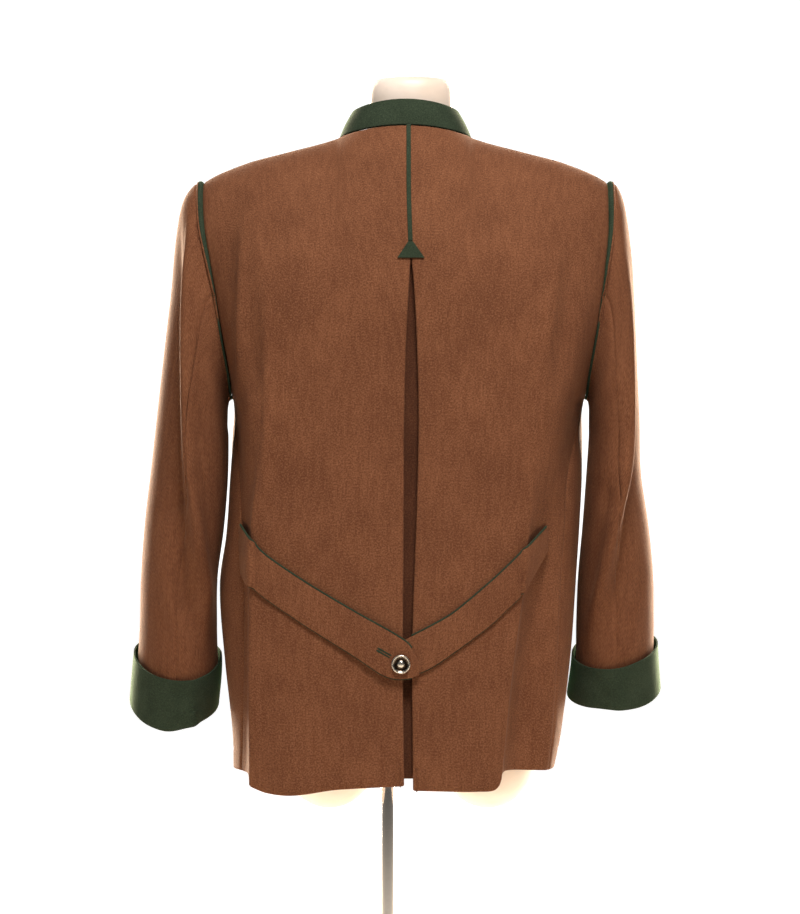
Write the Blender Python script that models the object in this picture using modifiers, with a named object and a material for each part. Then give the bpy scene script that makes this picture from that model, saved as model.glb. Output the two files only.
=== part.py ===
"""Tyrolean loden jacket, buttoned, on a limbless dress form with a pole stand.

The wearer's front faces -Y and the wearer's left is +X. The origin is the centre of the
underside of the stand's base plate. All sizes are in metres.

The garment is cut as a maker cuts it. Each panel is a grid of points on one worn form: its
rows run round the body at the levels below, and its columns run from hem to shoulder. A wall
is then given to each grid. Heights, widths and folds stand in the tables, a row a section.
"""
import math

import bpy
from mathutils import Vector

LEFT, RIGHT = 1, -1
SIDE_NAME = {LEFT: "left", RIGHT: "right"}

LODEN = 0.0020            # wall of the loden
FELT = 0.0016             # wall of the green felt trims
COLLAR_WALL = 0.0030
CUFF_WALL = 0.0024
BELT_WALL = 0.0030        # the half-belt is two layers of loden
SEAM_GAP = 0.0008         # between two pieces at a seam
SIDE_GAP = 0.0014         # at the side seams, where the walls lean together
SLEEVE_GAP = 0.0016       # at the sleeve seams, for the same reason
LAY_GAP = 0.0004          # between a trim and the panel below it

UNDERARM_Z = 0.868
SHOULDER_TIP_Z = 1.128
ROLL_Z = 0.950            # above this level the panels roll over to the shoulder seam
NECK_HALF_WIDTH = 0.0805
NECK_BACK = 0.066
NECK_FRONT = 0.080
NECK_BACK_Z = 1.190
NECK_SIDE_Z = 1.181
NECK_FRONT_Z = 1.105
COLLAR_HEIGHT = 0.031
COLLAR_LIFT = 0.0020      # from the neckline edge of the panels to the collar
COLLAR_INSET = 0.985
COLLAR_LEAN = 0.20        # share of the width that the collar loses from seam to edge
LEAN_X = 0.0037           # the shoulders sit this far to the wearer's left
FORM_X = -0.025           # middle of the form, measured from the pole

ARMHOLE_REAR = 0.068
ARMHOLE_FRONT = 0.066
PIPING_ROOM = 0.0035      # half of the slot between panel and sleeve
PIPING_TOP = 0.0021       # radius of the piping at the shoulder
PIPING_BOTTOM = 0.0011

PLEAT_TOP_Z = 1.028       # lower edge of the triangle, where the pleat opens
STRIP_BOTTOM_Z = 1.047
STRIP_WIDTH = 0.005
TRIANGLE_WIDTH = 0.031
UNDERLAY_DEPTH = 0.010
UNDERLAY_HALF_WIDTH = 0.030
UNDERLAY_Z = (0.431, 1.040)

BUTTON_RADIUS = 0.0108
BELT_BUTTON = (0.0093, 0.5635)              # x and z of its middle
FRONT_BUTTON_Z = (1.070, 0.982, 0.894, 0.806, 0.718)
FRONT_OVERLAP = 0.018
FRONT_STEP = 0.0034       # the lower front lies this much deeper at the overlap

POLE_RADIUS = 0.0080
POLE_TOP_Z = 0.4357
BASE_RADIUS = 0.170
BASE_THICKNESS = 0.008
TOUCH_GAP = 0.0003

COLLAR_OPENING = 0.05     # angle from the centre front to each end of the collar
BELT_PIPING_RADIUS = 0.0011
BUTTON_SEAT = 0.0016      # from the belt to the foot of its button
FRONT_BUTTON_SEAT = 0.0010
BUTTON_STEPS = 16
WELT_ENDS = ((0.0372, 0.5810), (0.0195, 0.5710))    # x and z of the buttonhole's two ends
WELT_HALF_WIDTH = 0.0022
WELT_WALL = 0.0010
WELT_SEAT = 0.0009
BUTTON_PROFILE = (        # radius and height, from the dome over the dish and rim to the foot
    (0.0, 0.0040), (0.0030, 0.0036), (0.0044, 0.0022), (0.0080, 0.0024),
    (0.0094, 0.0040), (BUTTON_RADIUS, 0.0028), (0.0096, 0.0), (0.0, 0.0))


def table(names, *rows):
    keys = names.split()
    return [dict(zip(keys, row)) for row in rows]


# Half widths to each side, depths behind and in front, and squareness of the sections
BODY = table(
    "z      left    right   back    front   square",
    (0.420, 0.2105, 0.1770, 0.1550, 0.1480, 3.0),
    (0.460, 0.2149, 0.1877, 0.1545, 0.1480, 3.0),
    (0.560, 0.2203, 0.1956, 0.1520, 0.1490, 3.0),
    (0.647, 0.2271, 0.2009, 0.1500, 0.1500, 3.0),
    (0.712, 0.2215, 0.2061, 0.1490, 0.1500, 3.0),
    (0.780, 0.2136, 0.2099, 0.1480, 0.1480, 2.9),
    (0.868, 0.2120, 0.2125, 0.1470, 0.1450, 2.8),
    (0.950, 0.2300, 0.2300, 0.1460, 0.1420, 2.7),
    (1.128, 0.2600, 0.2600, 0.1460, 0.1380, 2.6),
)

# The back turns forward over a crest, drops into a valley and ends at the side seam
BACK_FOLD = {
    LEFT: table(
        "z      crest_x crest_y valley_x valley_y seam_x  seam_y",
        (0.420, 0.1835, 0.1370, 0.1880, 0.1040, 0.1960, 0.0820),
        (0.460, 0.1840, 0.1350, 0.1870, 0.0980, 0.1950, 0.0780),
        (0.560, 0.1853, 0.1290, 0.1865, 0.0920, 0.1940, 0.0740),
        (0.650, 0.1840, 0.1240, 0.1875, 0.0890, 0.1940, 0.0740),
        (0.720, 0.1820, 0.1220, 0.1885, 0.0920, 0.1960, 0.0720),
        (0.780, 0.1760, 0.1230, 0.1890, 0.0970, 0.2000, 0.0620),
        (0.868, 0.1710, 0.1250, 0.1950, 0.0960, 0.2105, 0.0000),
        (0.950, 0.1720, 0.1250, 0.2050, 0.0990, 0.2200, 0.0600),
        (1.128, 0.1860, 0.1260, 0.2220, 0.1050, 0.2455, 0.0600),
    ),
    RIGHT: table(
        "z      crest_x crest_y valley_x valley_y seam_x  seam_y",
        (0.420, 0.1063, 0.1400, 0.1210, 0.1000, 0.1640, 0.0720),
        (0.460, 0.1100, 0.1385, 0.1240, 0.0970, 0.1690, 0.0730),
        (0.560, 0.1200, 0.1360, 0.1350, 0.0950, 0.1750, 0.0720),
        (0.650, 0.1320, 0.1320, 0.1470, 0.0950, 0.1790, 0.0720),
        (0.720, 0.1390, 0.1300, 0.1560, 0.0980, 0.1840, 0.0700),
        (0.780, 0.1450, 0.1300, 0.1660, 0.1050, 0.1880, 0.0600),
        (0.868, 0.1525, 0.1300, 0.1830, 0.1090, 0.2105, 0.0000),
        (0.950, 0.1610, 0.1280, 0.2000, 0.1030, 0.2200, 0.0600),
        (1.128, 0.1860, 0.1260, 0.2220, 0.1050, 0.2455, 0.0600),
    ),
}

# Inner edges of the two back panels: middle of the pleat and its opening
PLEAT = table(
    "z      middle   opening",
    (0.420, 0.0005,  0.0100),
    (0.550, 0.0017,  0.0103),
    (0.610, 0.0013,  0.0108),
    (0.750, -0.0016, 0.0150),
    (0.842, -0.0027, 0.0163),
    (0.930, -0.0029, 0.0122),
    (1.000, -0.0030, 0.0050),
    (1.028, -0.0033, 0.0012),
    (1.047, -0.0035, 0.0010),
    (1.110, -0.0035, 0.0012),
    (1.190, -0.0035, 0.0018),
)

SHOULDER = table(
    "x       z",
    (0.0805, 1.1810),
    (0.1000, 1.1750),
    (0.1410, 1.1645),
    (0.1950, 1.1500),
    (0.2310, 1.1350),
    (0.2455, 1.1280),
)

ARMHOLE = table(
    "z      back_x  front_x",
    (0.868, 0.2125, 0.2125),
    (0.894, 0.2139, 0.2080),
    (0.943, 0.2215, 0.2060),
    (0.991, 0.2290, 0.2090),
    (1.032, 0.2360, 0.2160),
    (1.070, 0.2420, 0.2280),
    (1.128, 0.2455, 0.2455),
)

# Sections of the sleeves: ends of each section at the body and outside, then its middle and
# half size from back to front. The outer side stands forward by skew, tilt is in degrees, and
# a trough runs down the back at an angle round the section, in radians from the inner side.
SLEEVE = {
    LEFT: table(
        "in_x    in_z   out_x   out_z  mid_y   half    skew   tilt trough angle",
        (0.2125, 0.868, 0.2455, 1.128, 0.000,  0.0670, 0.000, 0.0, 0.000, 2.15),
        (0.2150, 0.864, 0.2580, 1.119, 0.000,  0.0690, 0.004, 0.0, 0.000, 2.15),
        (0.2155, 0.860, 0.2695, 1.100, 0.000,  0.0710, 0.008, 0.0, 0.001, 2.15),
        (0.2158, 0.856, 0.2770, 1.060, -0.001, 0.0730, 0.014, 0.0, 0.003, 2.12),
        (0.2160, 0.851, 0.2835, 1.012, -0.002, 0.0740, 0.020, 0.0, 0.005, 2.10),
        (0.2163, 0.845, 0.2900, 0.965, -0.003, 0.0745, 0.026, 0.0, 0.006, 2.10),
        (0.2166, 0.836, 0.2975, 0.905, -0.004, 0.0745, 0.030, 0.0, 0.007, 2.08),
        (0.2172, 0.820, 0.3040, 0.848, -0.006, 0.0740, 0.032, 0.0, 0.007, 2.05),
        (0.2190, 0.772, 0.3110, 0.785, -0.008, 0.0730, 0.032, 1.0, 0.007, 1.95),
        (0.2235, 0.715, 0.3185, 0.722, -0.012, 0.0715, 0.030, 4.0, 0.007, 1.75),
        (0.2300, 0.655, 0.3240, 0.657, -0.022, 0.0700, 0.026, 8.0, 0.006, 1.50),
        (0.2315, 0.595, 0.3265, 0.595, -0.033, 0.0680, 0.022, 12.0, 0.005, 1.25),
        (0.2318, 0.543, 0.3300, 0.545, -0.042, 0.0670, 0.018, 16.0, 0.003, 1.15),
        (0.2300, 0.496, 0.3325, 0.500, -0.050, 0.0680, 0.016, 16.0, 0.002, 1.15),
    ),
    RIGHT: table(
        "in_x    in_z   out_x   out_z  mid_y   half    skew   tilt trough angle",
        (0.2125, 0.868, 0.2455, 1.128, 0.000,  0.0670, 0.000, 0.0, 0.000, 2.25),
        (0.2150, 0.864, 0.2560, 1.118, 0.000,  0.0700, 0.004, 0.0, 0.000, 2.25),
        (0.2155, 0.860, 0.2635, 1.096, -0.001, 0.0730, 0.008, 0.0, 0.001, 2.25),
        (0.2158, 0.856, 0.2680, 1.050, -0.003, 0.0760, 0.012, 0.0, 0.002, 2.25),
        (0.2160, 0.851, 0.2705, 1.002, -0.005, 0.0780, 0.016, 0.0, 0.004, 2.25),
        (0.2163, 0.845, 0.2735, 0.955, -0.007, 0.0790, 0.018, 0.0, 0.005, 2.25),
        (0.2166, 0.836, 0.2765, 0.900, -0.009, 0.0790, 0.020, 0.0, 0.006, 2.25),
        (0.2165, 0.820, 0.2795, 0.845, -0.012, 0.0785, 0.022, 0.0, 0.006, 2.22),
        (0.2135, 0.772, 0.2815, 0.782, -0.016, 0.0780, 0.022, 1.0, 0.006, 2.15),
        (0.2095, 0.715, 0.2905, 0.720, -0.022, 0.0760, 0.022, 4.0, 0.006, 1.95),
        (0.2050, 0.657, 0.2970, 0.662, -0.032, 0.0730, 0.022, 8.0, 0.006, 1.65),
        (0.2035, 0.600, 0.2990, 0.603, -0.043, 0.0700, 0.020, 11.0, 0.005, 1.40),
        (0.2035, 0.552, 0.2995, 0.556, -0.052, 0.0690, 0.018, 13.0, 0.003, 1.20),
        (0.2010, 0.510, 0.3010, 0.514, -0.060, 0.0700, 0.016, 12.0, 0.002, 1.20),
    ),
}
HINDARM_ANGLE = 1.50      # seams between upper and under sleeve, round the section
FOREARM_ANGLE = -1.20
TROUGH_WIDTH = 0.30
SEAM_STEP = 0.05
SLEEVE_END_ROW = 12.93    # the sleeve ends just above the fold of its cuff

# Cuffs, from their upper edge down to the fold: row of the sleeve table and stand-off
CUFF = table(
    "row    off",
    (11.75, 0.0050),
    (12.10, 0.0055),
    (12.50, 0.0065),
    (12.85, 0.0075),
    (13.00, 0.0080),
)

# Upper and lower edges of the half-belt from the side seam to its free end
BELT = {
    LEFT: table(
        "place   x       up      low",
        ("seam", 0.1960, 0.7205, 0.6626),
        ("crest", 0.184, 0.7060, 0.6520),
        ("back", 0.1760, 0.6970, 0.6460),
        ("back", 0.1600, 0.6825, 0.6340),
        ("back", 0.1146, 0.6528, 0.6043),
        ("back", 0.0630, 0.6225, 0.5726),
        ("back", 0.0320, 0.6055, 0.5521),
        ("back", 0.0149, 0.5955, 0.5466),
        ("back", 0.0017, 0.5864, 0.5470),
        ("back", -0.0060, 0.5755, 0.5490),
        ("back", -0.0115, 0.5640, 0.5520),
    ),
    RIGHT: table(
        "place   x       up      low",
        ("seam", 0.1760, 0.7290, 0.6830),
        ("crest", 0.138, 0.6980, 0.6480),
        ("back", 0.1280, 0.6885, 0.6400),
        ("back", 0.1120, 0.6730, 0.6250),
        ("back", 0.0903, 0.6533, 0.6052),
        ("back", 0.0514, 0.6212, 0.5766),
        ("back", 0.0240, 0.6052, 0.5585),
        ("back", 0.0020, 0.5940, 0.5500),
        ("back", -0.0120, 0.5870, 0.5480),
    ),
}

# The form: middle, half width, depths behind and in front, squareness of the section
FORM = table(
    "z      middle   half    back    front   square",
    (0.436, 0.0000,  0.1300, 0.0900, 0.0850, 2.4),
    (0.480, 0.0000,  0.1500, 0.1150, 0.1060, 2.4),
    (0.560, 0.0000,  0.1560, 0.1170, 0.1100, 2.4),
    (0.660, 0.0000,  0.1480, 0.1060, 0.1080, 2.4),
    (0.760, 0.0000,  0.1560, 0.1080, 0.1150, 2.4),
    (0.860, 0.0000,  0.1740, 0.1180, 0.1230, 2.4),
    (0.950, 0.0000,  0.1800, 0.1180, 0.1100, 2.4),
    (1.030, 0.0005,  0.1840, 0.1040, 0.0880, 2.4),
    (1.080, 0.0010,  0.1780, 0.0820, 0.0660, 2.4),
    (1.112, 0.0010,  0.1500, 0.0660, 0.0520, 2.3),
    (1.135, 0.0005,  0.1080, 0.0560, 0.0470, 2.2),
    (1.152, -0.0005, 0.0760, 0.0490, 0.0450, 2.1),
    (1.170, -0.0015, 0.0580, 0.0440, 0.0440, 2.0),
    (1.205, -0.0025, 0.0515, 0.0420, 0.0440, 2.0),
    (1.242, -0.0030, 0.0505, 0.0415, 0.0440, 2.0),
    (1.252, -0.0030, 0.0450, 0.0360, 0.0390, 2.0),
)
LOBE_X = 0.0945           # the two rounded ends below the form
LOBE_SIZE = (0.0620, 0.0900, 0.0760)
LOBE_Z = 0.4550

LEVELS = (0.420, 0.455, 0.500, 0.550, 0.600, 0.650, 0.700, 0.750, 0.800, 0.840, 0.868,
          0.882, 0.910, 0.950)
ROLLS = (0.20, 0.40, 0.58, 0.75, 0.88, 0.96, 1.0)
BACK_COLUMNS = (0.0, 0.10, 0.20, 0.30, 0.44, 0.58, 0.70, 0.78, 0.86, 0.94, 0.985, 1.0)
FRONT_COLUMNS = (0.0, 0.07, 0.14, 0.20, 0.25, 0.28, 0.30, 0.40, 0.50, 0.60, 0.70, 0.80, 0.90,
                 0.985, 1.0)
NECK_COLUMN = 0.30        # the column that meets the corner of neckline and shoulder
CREST_COLUMN = 0.70


# ---------------------------------------------------------------- reading the tables
def blend(a, b, t):
    return a + (b - a) * t


def clamp(value, low=0.0, high=1.0):
    return max(low, min(high, value))


def ease(t):
    t = clamp(t)
    return t * t * (3 - 2 * t)


def read(rows, key, at, by="z"):
    """One column of a table at a place along it, smooth between its rows."""
    falling = rows[0][by] > rows[-1][by]
    rows = rows[::-1] if falling else rows
    at = clamp(at, rows[0][by], rows[-1][by])
    i = max(k for k in range(len(rows) - 1) if rows[k][by] <= at)
    low, high = rows[i], rows[i + 1]
    before, after = rows[max(i - 1, 0)], rows[min(i + 2, len(rows) - 1)]
    span = high[by] - low[by]
    slope_low = (high[key] - before[key]) / (high[by] - before[by]) * span
    slope_high = (after[key] - low[key]) / (after[by] - low[by]) * span
    t = (at - low[by]) / span
    rise = high[key] - low[key]
    return (low[key] + t * (slope_low + t * (3 * rise - 2 * slope_low - slope_high
                                             + t * (slope_low + slope_high - 2 * rise))))


def read_row(rows, key, row):
    """One column of a table at a row number that may lie between two rows."""
    numbered = [dict(entry, row=float(i)) for i, entry in enumerate(rows)]
    return read(numbered, key, row, by="row")


# ---------------------------------------------------------------- the worn form
def worn(x, y, z):
    """A point of the garment, with the shoulders moved to where they sit."""
    return Vector((x + LEAN_X * ease((z - 0.98) / 0.14), y, z))


def neckline(angle):
    """Neckline by plan angle: 0 at the centre back, pi at the centre front."""
    depth = NECK_BACK if math.cos(angle) > 0 else NECK_FRONT
    behind = math.sin(angle) ** 2
    if math.cos(angle) > 0:
        z = blend(NECK_BACK_Z, NECK_SIDE_Z, behind)
    else:
        z = blend(NECK_SIDE_Z, NECK_FRONT_Z, (-math.cos(angle)) ** 1.7)
    return NECK_HALF_WIDTH * math.sin(angle), depth * math.cos(angle), z


def armhole_depth(z, depth):
    middle = (UNDERARM_Z + SHOULDER_TIP_Z) / 2
    half = (SHOULDER_TIP_Z - UNDERARM_Z) / 2
    return depth * math.sqrt(clamp(1 - ((z - middle) / half) ** 2))


def armhole(angle):
    """Armhole loop: 0 at the underarm, pi at the shoulder, the back between them."""
    z = (UNDERARM_Z + SHOULDER_TIP_Z) / 2 - (SHOULDER_TIP_Z - UNDERARM_Z) / 2 * math.cos(angle)
    rear = math.sin(angle) > 0
    x = read(ARMHOLE, "back_x" if rear else "front_x", z)
    return x, (ARMHOLE_REAR if rear else ARMHOLE_FRONT) * math.sin(angle), z


def roll_over(base, top, share):
    """Quarter arc from a point at the roll level up to a point of the upper edge."""
    (x, y), (top_x, top_y, top_z) = base, top
    end = math.acos(clamp(top_y / y))
    angle = share * end
    return (blend(x, top_x, ease(share)), y * math.cos(angle),
            ROLL_Z + (top_z - ROLL_Z) * math.sin(angle) / math.sin(end))


def inner_edge(side, z):
    """Edge of a back panel at the centre back, as a distance towards its own side."""
    return side * read(PLEAT, "middle", z) + read(PLEAT, "opening", z) / 2


def back_flat(side, x, z):
    """Depth of the back between the centre and the crest."""
    crest_x = read(BACK_FOLD[side], "crest_x", z)
    crest_y = read(BACK_FOLD[side], "crest_y", z)
    back = read(BODY, "back", z)
    return crest_y + (back - crest_y) * (1 - clamp(abs(x) / crest_x) ** 3)


def upper_end(x):
    """Top of a column: on the neckline near the middle, else on the shoulder seam."""
    if abs(x) < NECK_HALF_WIDTH:
        return x, *neckline(math.asin(x / NECK_HALF_WIDTH))[1:]
    return x, 0.0, read(SHOULDER, "z", x, by="x")


def centre_height(share):
    """Height of the centre back at a share of the roll."""
    end = math.acos(NECK_BACK / read(BODY, "back", ROLL_Z))
    return ROLL_Z + (NECK_BACK_Z - ROLL_Z) * math.sin(share * end) / math.sin(end)


def back_inner(side, column, level, share):
    """Back panel from the centre to the crest."""
    z = level if share is None else ROLL_Z
    edge = inner_edge(side, level if share is None else centre_height(share))
    neck, fold = NECK_HALF_WIDTH, BACK_FOLD[side]
    if column <= NECK_COLUMN:
        x = top_x = blend(edge, neck, column / NECK_COLUMN)
    else:
        part_way = (column - NECK_COLUMN) / (CREST_COLUMN - NECK_COLUMN)
        x = blend(neck, read(fold, "crest_x", z), part_way)
        top_x = blend(neck, read(fold, "crest_x", SHOULDER_TIP_Z), part_way)
    if share is None:
        return x, back_flat(side, x, z), z
    return roll_over((x, back_flat(side, x, z)), upper_end(top_x), share)


def edge_point(side, level, share, rear):
    """Outer edge of a panel: the side seam, and above the underarm the armhole."""
    z = level
    if share is not None:
        z = ROLL_Z + (SHOULDER_TIP_Z - ROLL_Z) * math.sin(share * math.pi / 2)
    if z < UNDERARM_Z:
        return read(BACK_FOLD[side], "seam_x", z), read(BACK_FOLD[side], "seam_y", z), z
    if rear:
        return (read(ARMHOLE, "back_x", z) - PIPING_ROOM, armhole_depth(z, ARMHOLE_REAR), z)
    return (read(ARMHOLE, "front_x", z) - PIPING_ROOM, -armhole_depth(z, ARMHOLE_FRONT), z)


def back_point(side, column, level=ROLL_Z, share=None):
    """A point of a back panel: columns run from 0 at the centre to 1 at the side."""
    if column <= CREST_COLUMN:
        x, y, z = back_inner(side, column, level, share)
        return worn(side * x, y, z)
    crest = Vector(back_inner(side, CREST_COLUMN, level, share))
    edge = Vector(edge_point(side, level, share, rear=True))
    fold = BACK_FOLD[side]
    if share is None:
        valley = Vector((read(fold, "valley_x", level), read(fold, "valley_y", level), level))
    else:
        base = read(fold, "valley_x", ROLL_Z), read(fold, "valley_y", ROLL_Z)
        valley = Vector(roll_over(base, upper_end(read(fold, "valley_x", SHOULDER_TIP_Z)), share))
    t = 2 * (column - CREST_COLUMN) / (1 - CREST_COLUMN)
    across = (edge - crest) / 2
    if t <= 1:
        point = curve(crest, valley, (4 * valley - 3 * crest - edge) / 2, across, t)
    else:
        turn = ease((UNDERARM_Z - level) / 0.10) if share is None else 0.0
        ending = (edge - valley).lerp(Vector((0.4, -0.9, 0)) * (edge - valley).length, turn)
        point = curve(valley, edge, across, ending, t - 1)
    return worn(side * point.x, point.y, point.z)


def curve(a, b, leaving, arriving, t):
    """Smooth curve between two points, with its direction at each."""
    rise = b - a
    return a + t * (leaving + t * (3 * rise - 2 * leaving - arriving
                                   + t * (leaving + arriving - 2 * rise)))


def round_section(side, angle, z):
    """Section of the body by angle, from 0 at the centre front to pi at the centre back."""
    power = 2 / read(BODY, "square", z)
    across, along = math.sin(angle), math.cos(angle)
    depth = read(BODY, "front", z) if along > 0 else read(BODY, "back", z)
    x = read(BODY, SIDE_NAME[side], z) * abs(across) ** power
    return x, -math.copysign(depth * abs(along) ** power, along)


def section_angle(side, y, z):
    """Angle of the section's point at a given depth."""
    depth = read(BODY, "front", z) if y < 0 else read(BODY, "back", z)
    quarter = math.acos(clamp(abs(y) / depth) ** (read(BODY, "square", z) / 2))
    return quarter if y < 0 else math.pi - quarter


def front_point(side, column, level=ROLL_Z, share=None):
    """A point of a front panel: columns run from 0 at its front edge to 1 at the side."""
    z = level if share is None else ROLL_Z
    half = read(BODY, SIDE_NAME[side], z)
    square = read(BODY, "square", z)
    edge = Vector(edge_point(side, level, share, rear=False))
    flat_edge = edge_point(side, z, None, rear=False)
    end = section_angle(side, flat_edge[1], z)
    neck_angle = math.asin((NECK_HALF_WIDTH / half) ** (square / 2))
    if column <= NECK_COLUMN:
        x = blend(-FRONT_OVERLAP, NECK_HALF_WIDTH, column / NECK_COLUMN)
        flat = x, -read(BODY, "front", z) * (1 - (abs(x) / half) ** square) ** (1 / square)
        pull = 0.0
    else:
        angle = blend(neck_angle, end, (column - NECK_COLUMN) / (1 - NECK_COLUMN))
        flat = round_section(side, angle, z)
        pull = (angle / end) ** 4
    if share is None:
        point = Vector((*flat, z))
        last = Vector((*round_section(side, end, z), z))
    else:
        top_x = flat[0]
        if column > NECK_COLUMN:
            top_x = blend(NECK_HALF_WIDTH, read(ARMHOLE, "back_x", SHOULDER_TIP_Z) - PIPING_ROOM,
                          (column - NECK_COLUMN) / (1 - NECK_COLUMN))
        point = front_roll(flat, top_x, share)
        tip_x = read(ARMHOLE, "back_x", SHOULDER_TIP_Z) - PIPING_ROOM
        last = front_roll(round_section(side, end, z), tip_x, share)
    point += (edge - last) * pull
    if side == RIGHT:
        lean = (share or 0.0) * math.acos(NECK_FRONT / read(BODY, "front", ROLL_Z))
        step = FRONT_STEP * (1 - ease((point.x - 0.020) / 0.030))
        point += Vector((0, math.cos(lean), -math.sin(lean))) * step
    return worn(side * point.x, point.y, point.z)


def front_roll(flat, top_x, share):
    """The same roll as at the back, mirrored, up to the front neckline or the shoulder."""
    if abs(top_x) < NECK_HALF_WIDTH:
        _, depth, height = neckline(math.pi - math.asin(top_x / NECK_HALF_WIDTH))
        top = top_x, -depth, height
    else:
        top = upper_end(top_x)
    x, y, z = roll_over((flat[0], -flat[1]), top, share)
    return Vector((x, -y, z))


def sleeve_point(side, angle, row):
    """A point of a sleeve: angle round it, from 0 at the body, and a row of its table."""
    def value(key):
        return read_row(SLEEVE[side], key, row)
    across = (1 - math.cos(angle)) / 2
    turn = math.atan2(math.sin(angle - value("angle")), math.cos(angle - value("angle")))
    shrink = value("trough") * math.exp(-(turn / TROUGH_WIDTH) ** 2)
    x = blend(value("in_x"), value("out_x"), across)
    z = blend(value("in_z"), value("out_z"), across)
    y = value("mid_y") + (value("half") - shrink) * math.sin(angle) - value("skew") * (across - 0.5)
    z -= math.tan(math.radians(value("tilt"))) * (y - value("mid_y"))
    loop = Vector(armhole(angle))
    point = Vector((x, y, z)).lerp(loop, clamp(1 - row / 4) ** 2)
    point.x += (PIPING_ROOM + LODEN / 2) * clamp(1 - row / 6)
    return worn(side * point.x, point.y, point.z)


# ---------------------------------------------------------------- making the pieces
def start():
    for item in list(bpy.data.objects):
        bpy.data.objects.remove(item, do_unlink=True)
    parts = bpy.data.collections.new("tyrolean_loden_jacket")
    cutters = bpy.data.collections.new("cutters")
    bpy.context.scene.collection.children.link(parts)
    bpy.context.scene.collection.children.link(cutters)
    middle = bpy.data.objects.new("middle_of_form", None)
    middle.location.x = FORM_X
    parts.objects.link(middle)
    return parts, cutters, middle


def material(name, colour, roughness, metallic=0.0):
    made = bpy.data.materials.new(name)
    made.use_nodes = True
    shader = made.node_tree.nodes["Principled BSDF"]
    shader.inputs["Base Color"].default_value = (*colour, 1)
    shader.inputs["Roughness"].default_value = roughness
    shader.inputs["Metallic"].default_value = metallic
    return made


def add(name, mesh, finish, parent=None):
    item = bpy.data.objects.new(name, mesh)
    mesh.materials.append(finish)
    parts.objects.link(item)
    item.parent = parent if parent else middle
    return item


def loft(name, rows, finish, closed=False, capped=False):
    """Faces between rows of points; closed joins the ends of each row."""
    width = len(rows[0])
    steps = width if closed else width - 1
    verts = [point for row in rows for point in row]
    faces = [(j * width + i, j * width + (i + 1) % width,
              (j + 1) * width + (i + 1) % width, (j + 1) * width + i)
             for j in range(len(rows) - 1) for i in range(steps)]
    if capped:
        faces.append(tuple(range(width))[::-1])
        faces.append(tuple(range((len(rows) - 1) * width, len(rows) * width)))
    mesh = bpy.data.meshes.new(name)
    mesh.from_pydata(verts, [], faces)
    mesh.shade_smooth()
    mesh.set_sharp_from_angle(angle=math.radians(40))
    return add(name, mesh, finish)


def trim(rows, left=0.0, right=0.0, low=0.0, high=0.0):
    """Draw the edges of a grid in by even amounts, along its rows or its columns."""
    columns = [list(column) for column in zip(*rows)]
    columns[0] = pull_in(columns[0], columns[1], left)
    columns[-1] = pull_in(columns[-1], columns[-2], right)
    rows = [list(row) for row in zip(*columns)]
    rows[0] = pull_in(rows[0], rows[1], low)
    rows[-1] = pull_in(rows[-1], rows[-2], high)
    return rows


def pull_in(edge, beside, amount):
    """Move an edge towards the line beside it, by an amount measured square to the edge."""
    if not amount:
        return edge
    moved = []
    for i, point in enumerate(edge):
        along = (edge[min(i + 1, len(edge) - 1)] - edge[max(i - 1, 0)]).normalized()
        across = (beside[i] - point).normalized()
        moved.append(point + across * amount / max(along.cross(across).length, 0.4))
    return moved


def wall(item, thickness, outward=False):
    """Wall on an open surface, inside it or outside it."""
    solid = item.modifiers.new("wall", "SOLIDIFY")
    solid.thickness = thickness
    solid.offset = 1 if outward else -1
    return item


def wound(rows, side):
    """Rows of the right side run the other way, so that both sides face out."""
    return rows if side == LEFT else [row[::-1] for row in rows]


def panel_rows(point, side, columns):
    rows = [[point(side, column, level) for column in columns] for level in LEVELS]
    rows += [[point(side, column, share=share) for column in columns] for share in ROLLS]
    return rows


def make_backs(finish):
    for side in (LEFT, RIGHT):
        rows = panel_rows(back_point, side, BACK_COLUMNS)
        rows = trim(rows, right=SIDE_GAP / 2, high=SEAM_GAP / 2)
        rows = [row[::-1] for row in rows]
        wall(loft("back_" + SIDE_NAME[side], wound(rows, side), finish), LODEN)


def make_underlay(finish):
    low, high = UNDERLAY_Z
    count = 10
    rows = []
    for j in range(count + 1):
        z = blend(low, high, j / count)
        middle_x = read(PLEAT, "middle", z)
        row = []
        for share in (1.0, 0.33, -0.33, -1.0):
            x = middle_x + share * UNDERLAY_HALF_WIDTH
            depth = back_flat(LEFT if x > 0 else RIGHT, x, z) * roll_share(z)
            row.append(worn(x, depth - UNDERLAY_DEPTH, z))
        rows.append(row)
    wall(loft("pleat_underlay", rows, finish), LODEN)


def roll_share(z):
    """Depth of the centre back above the roll level, as a share of its depth there."""
    if z <= ROLL_Z:
        return 1.0
    end = math.acos(NECK_BACK / read(BODY, "back", ROLL_Z))
    return math.cos(math.asin((z - ROLL_Z) / (NECK_BACK_Z - ROLL_Z) * math.sin(end)))


def on_back(x, z, out):
    """A point that lies on the middle of the back, moved out."""
    side = LEFT if x >= 0 else RIGHT
    level = min(z, ROLL_Z)
    return worn(x, back_flat(side, x, level) * roll_share(z) + out, z)


def make_fronts(finish):
    for side in (LEFT, RIGHT):
        rows = panel_rows(front_point, side, FRONT_COLUMNS)
        rows = trim(rows, right=SIDE_GAP / 2, high=SEAM_GAP / 2)
        wall(loft("front_" + SIDE_NAME[side], wound(rows, side), finish), LODEN)


def seam_steps(start_angle, end_angle, count):
    """Even steps between two seams, and a short one beside each seam."""
    steps = [blend(start_angle, end_angle, i / count) for i in range(count + 1)]
    return [steps[0], steps[0] + SEAM_STEP, *steps[1:-1], steps[-1] - SEAM_STEP, steps[-1]]


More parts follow.
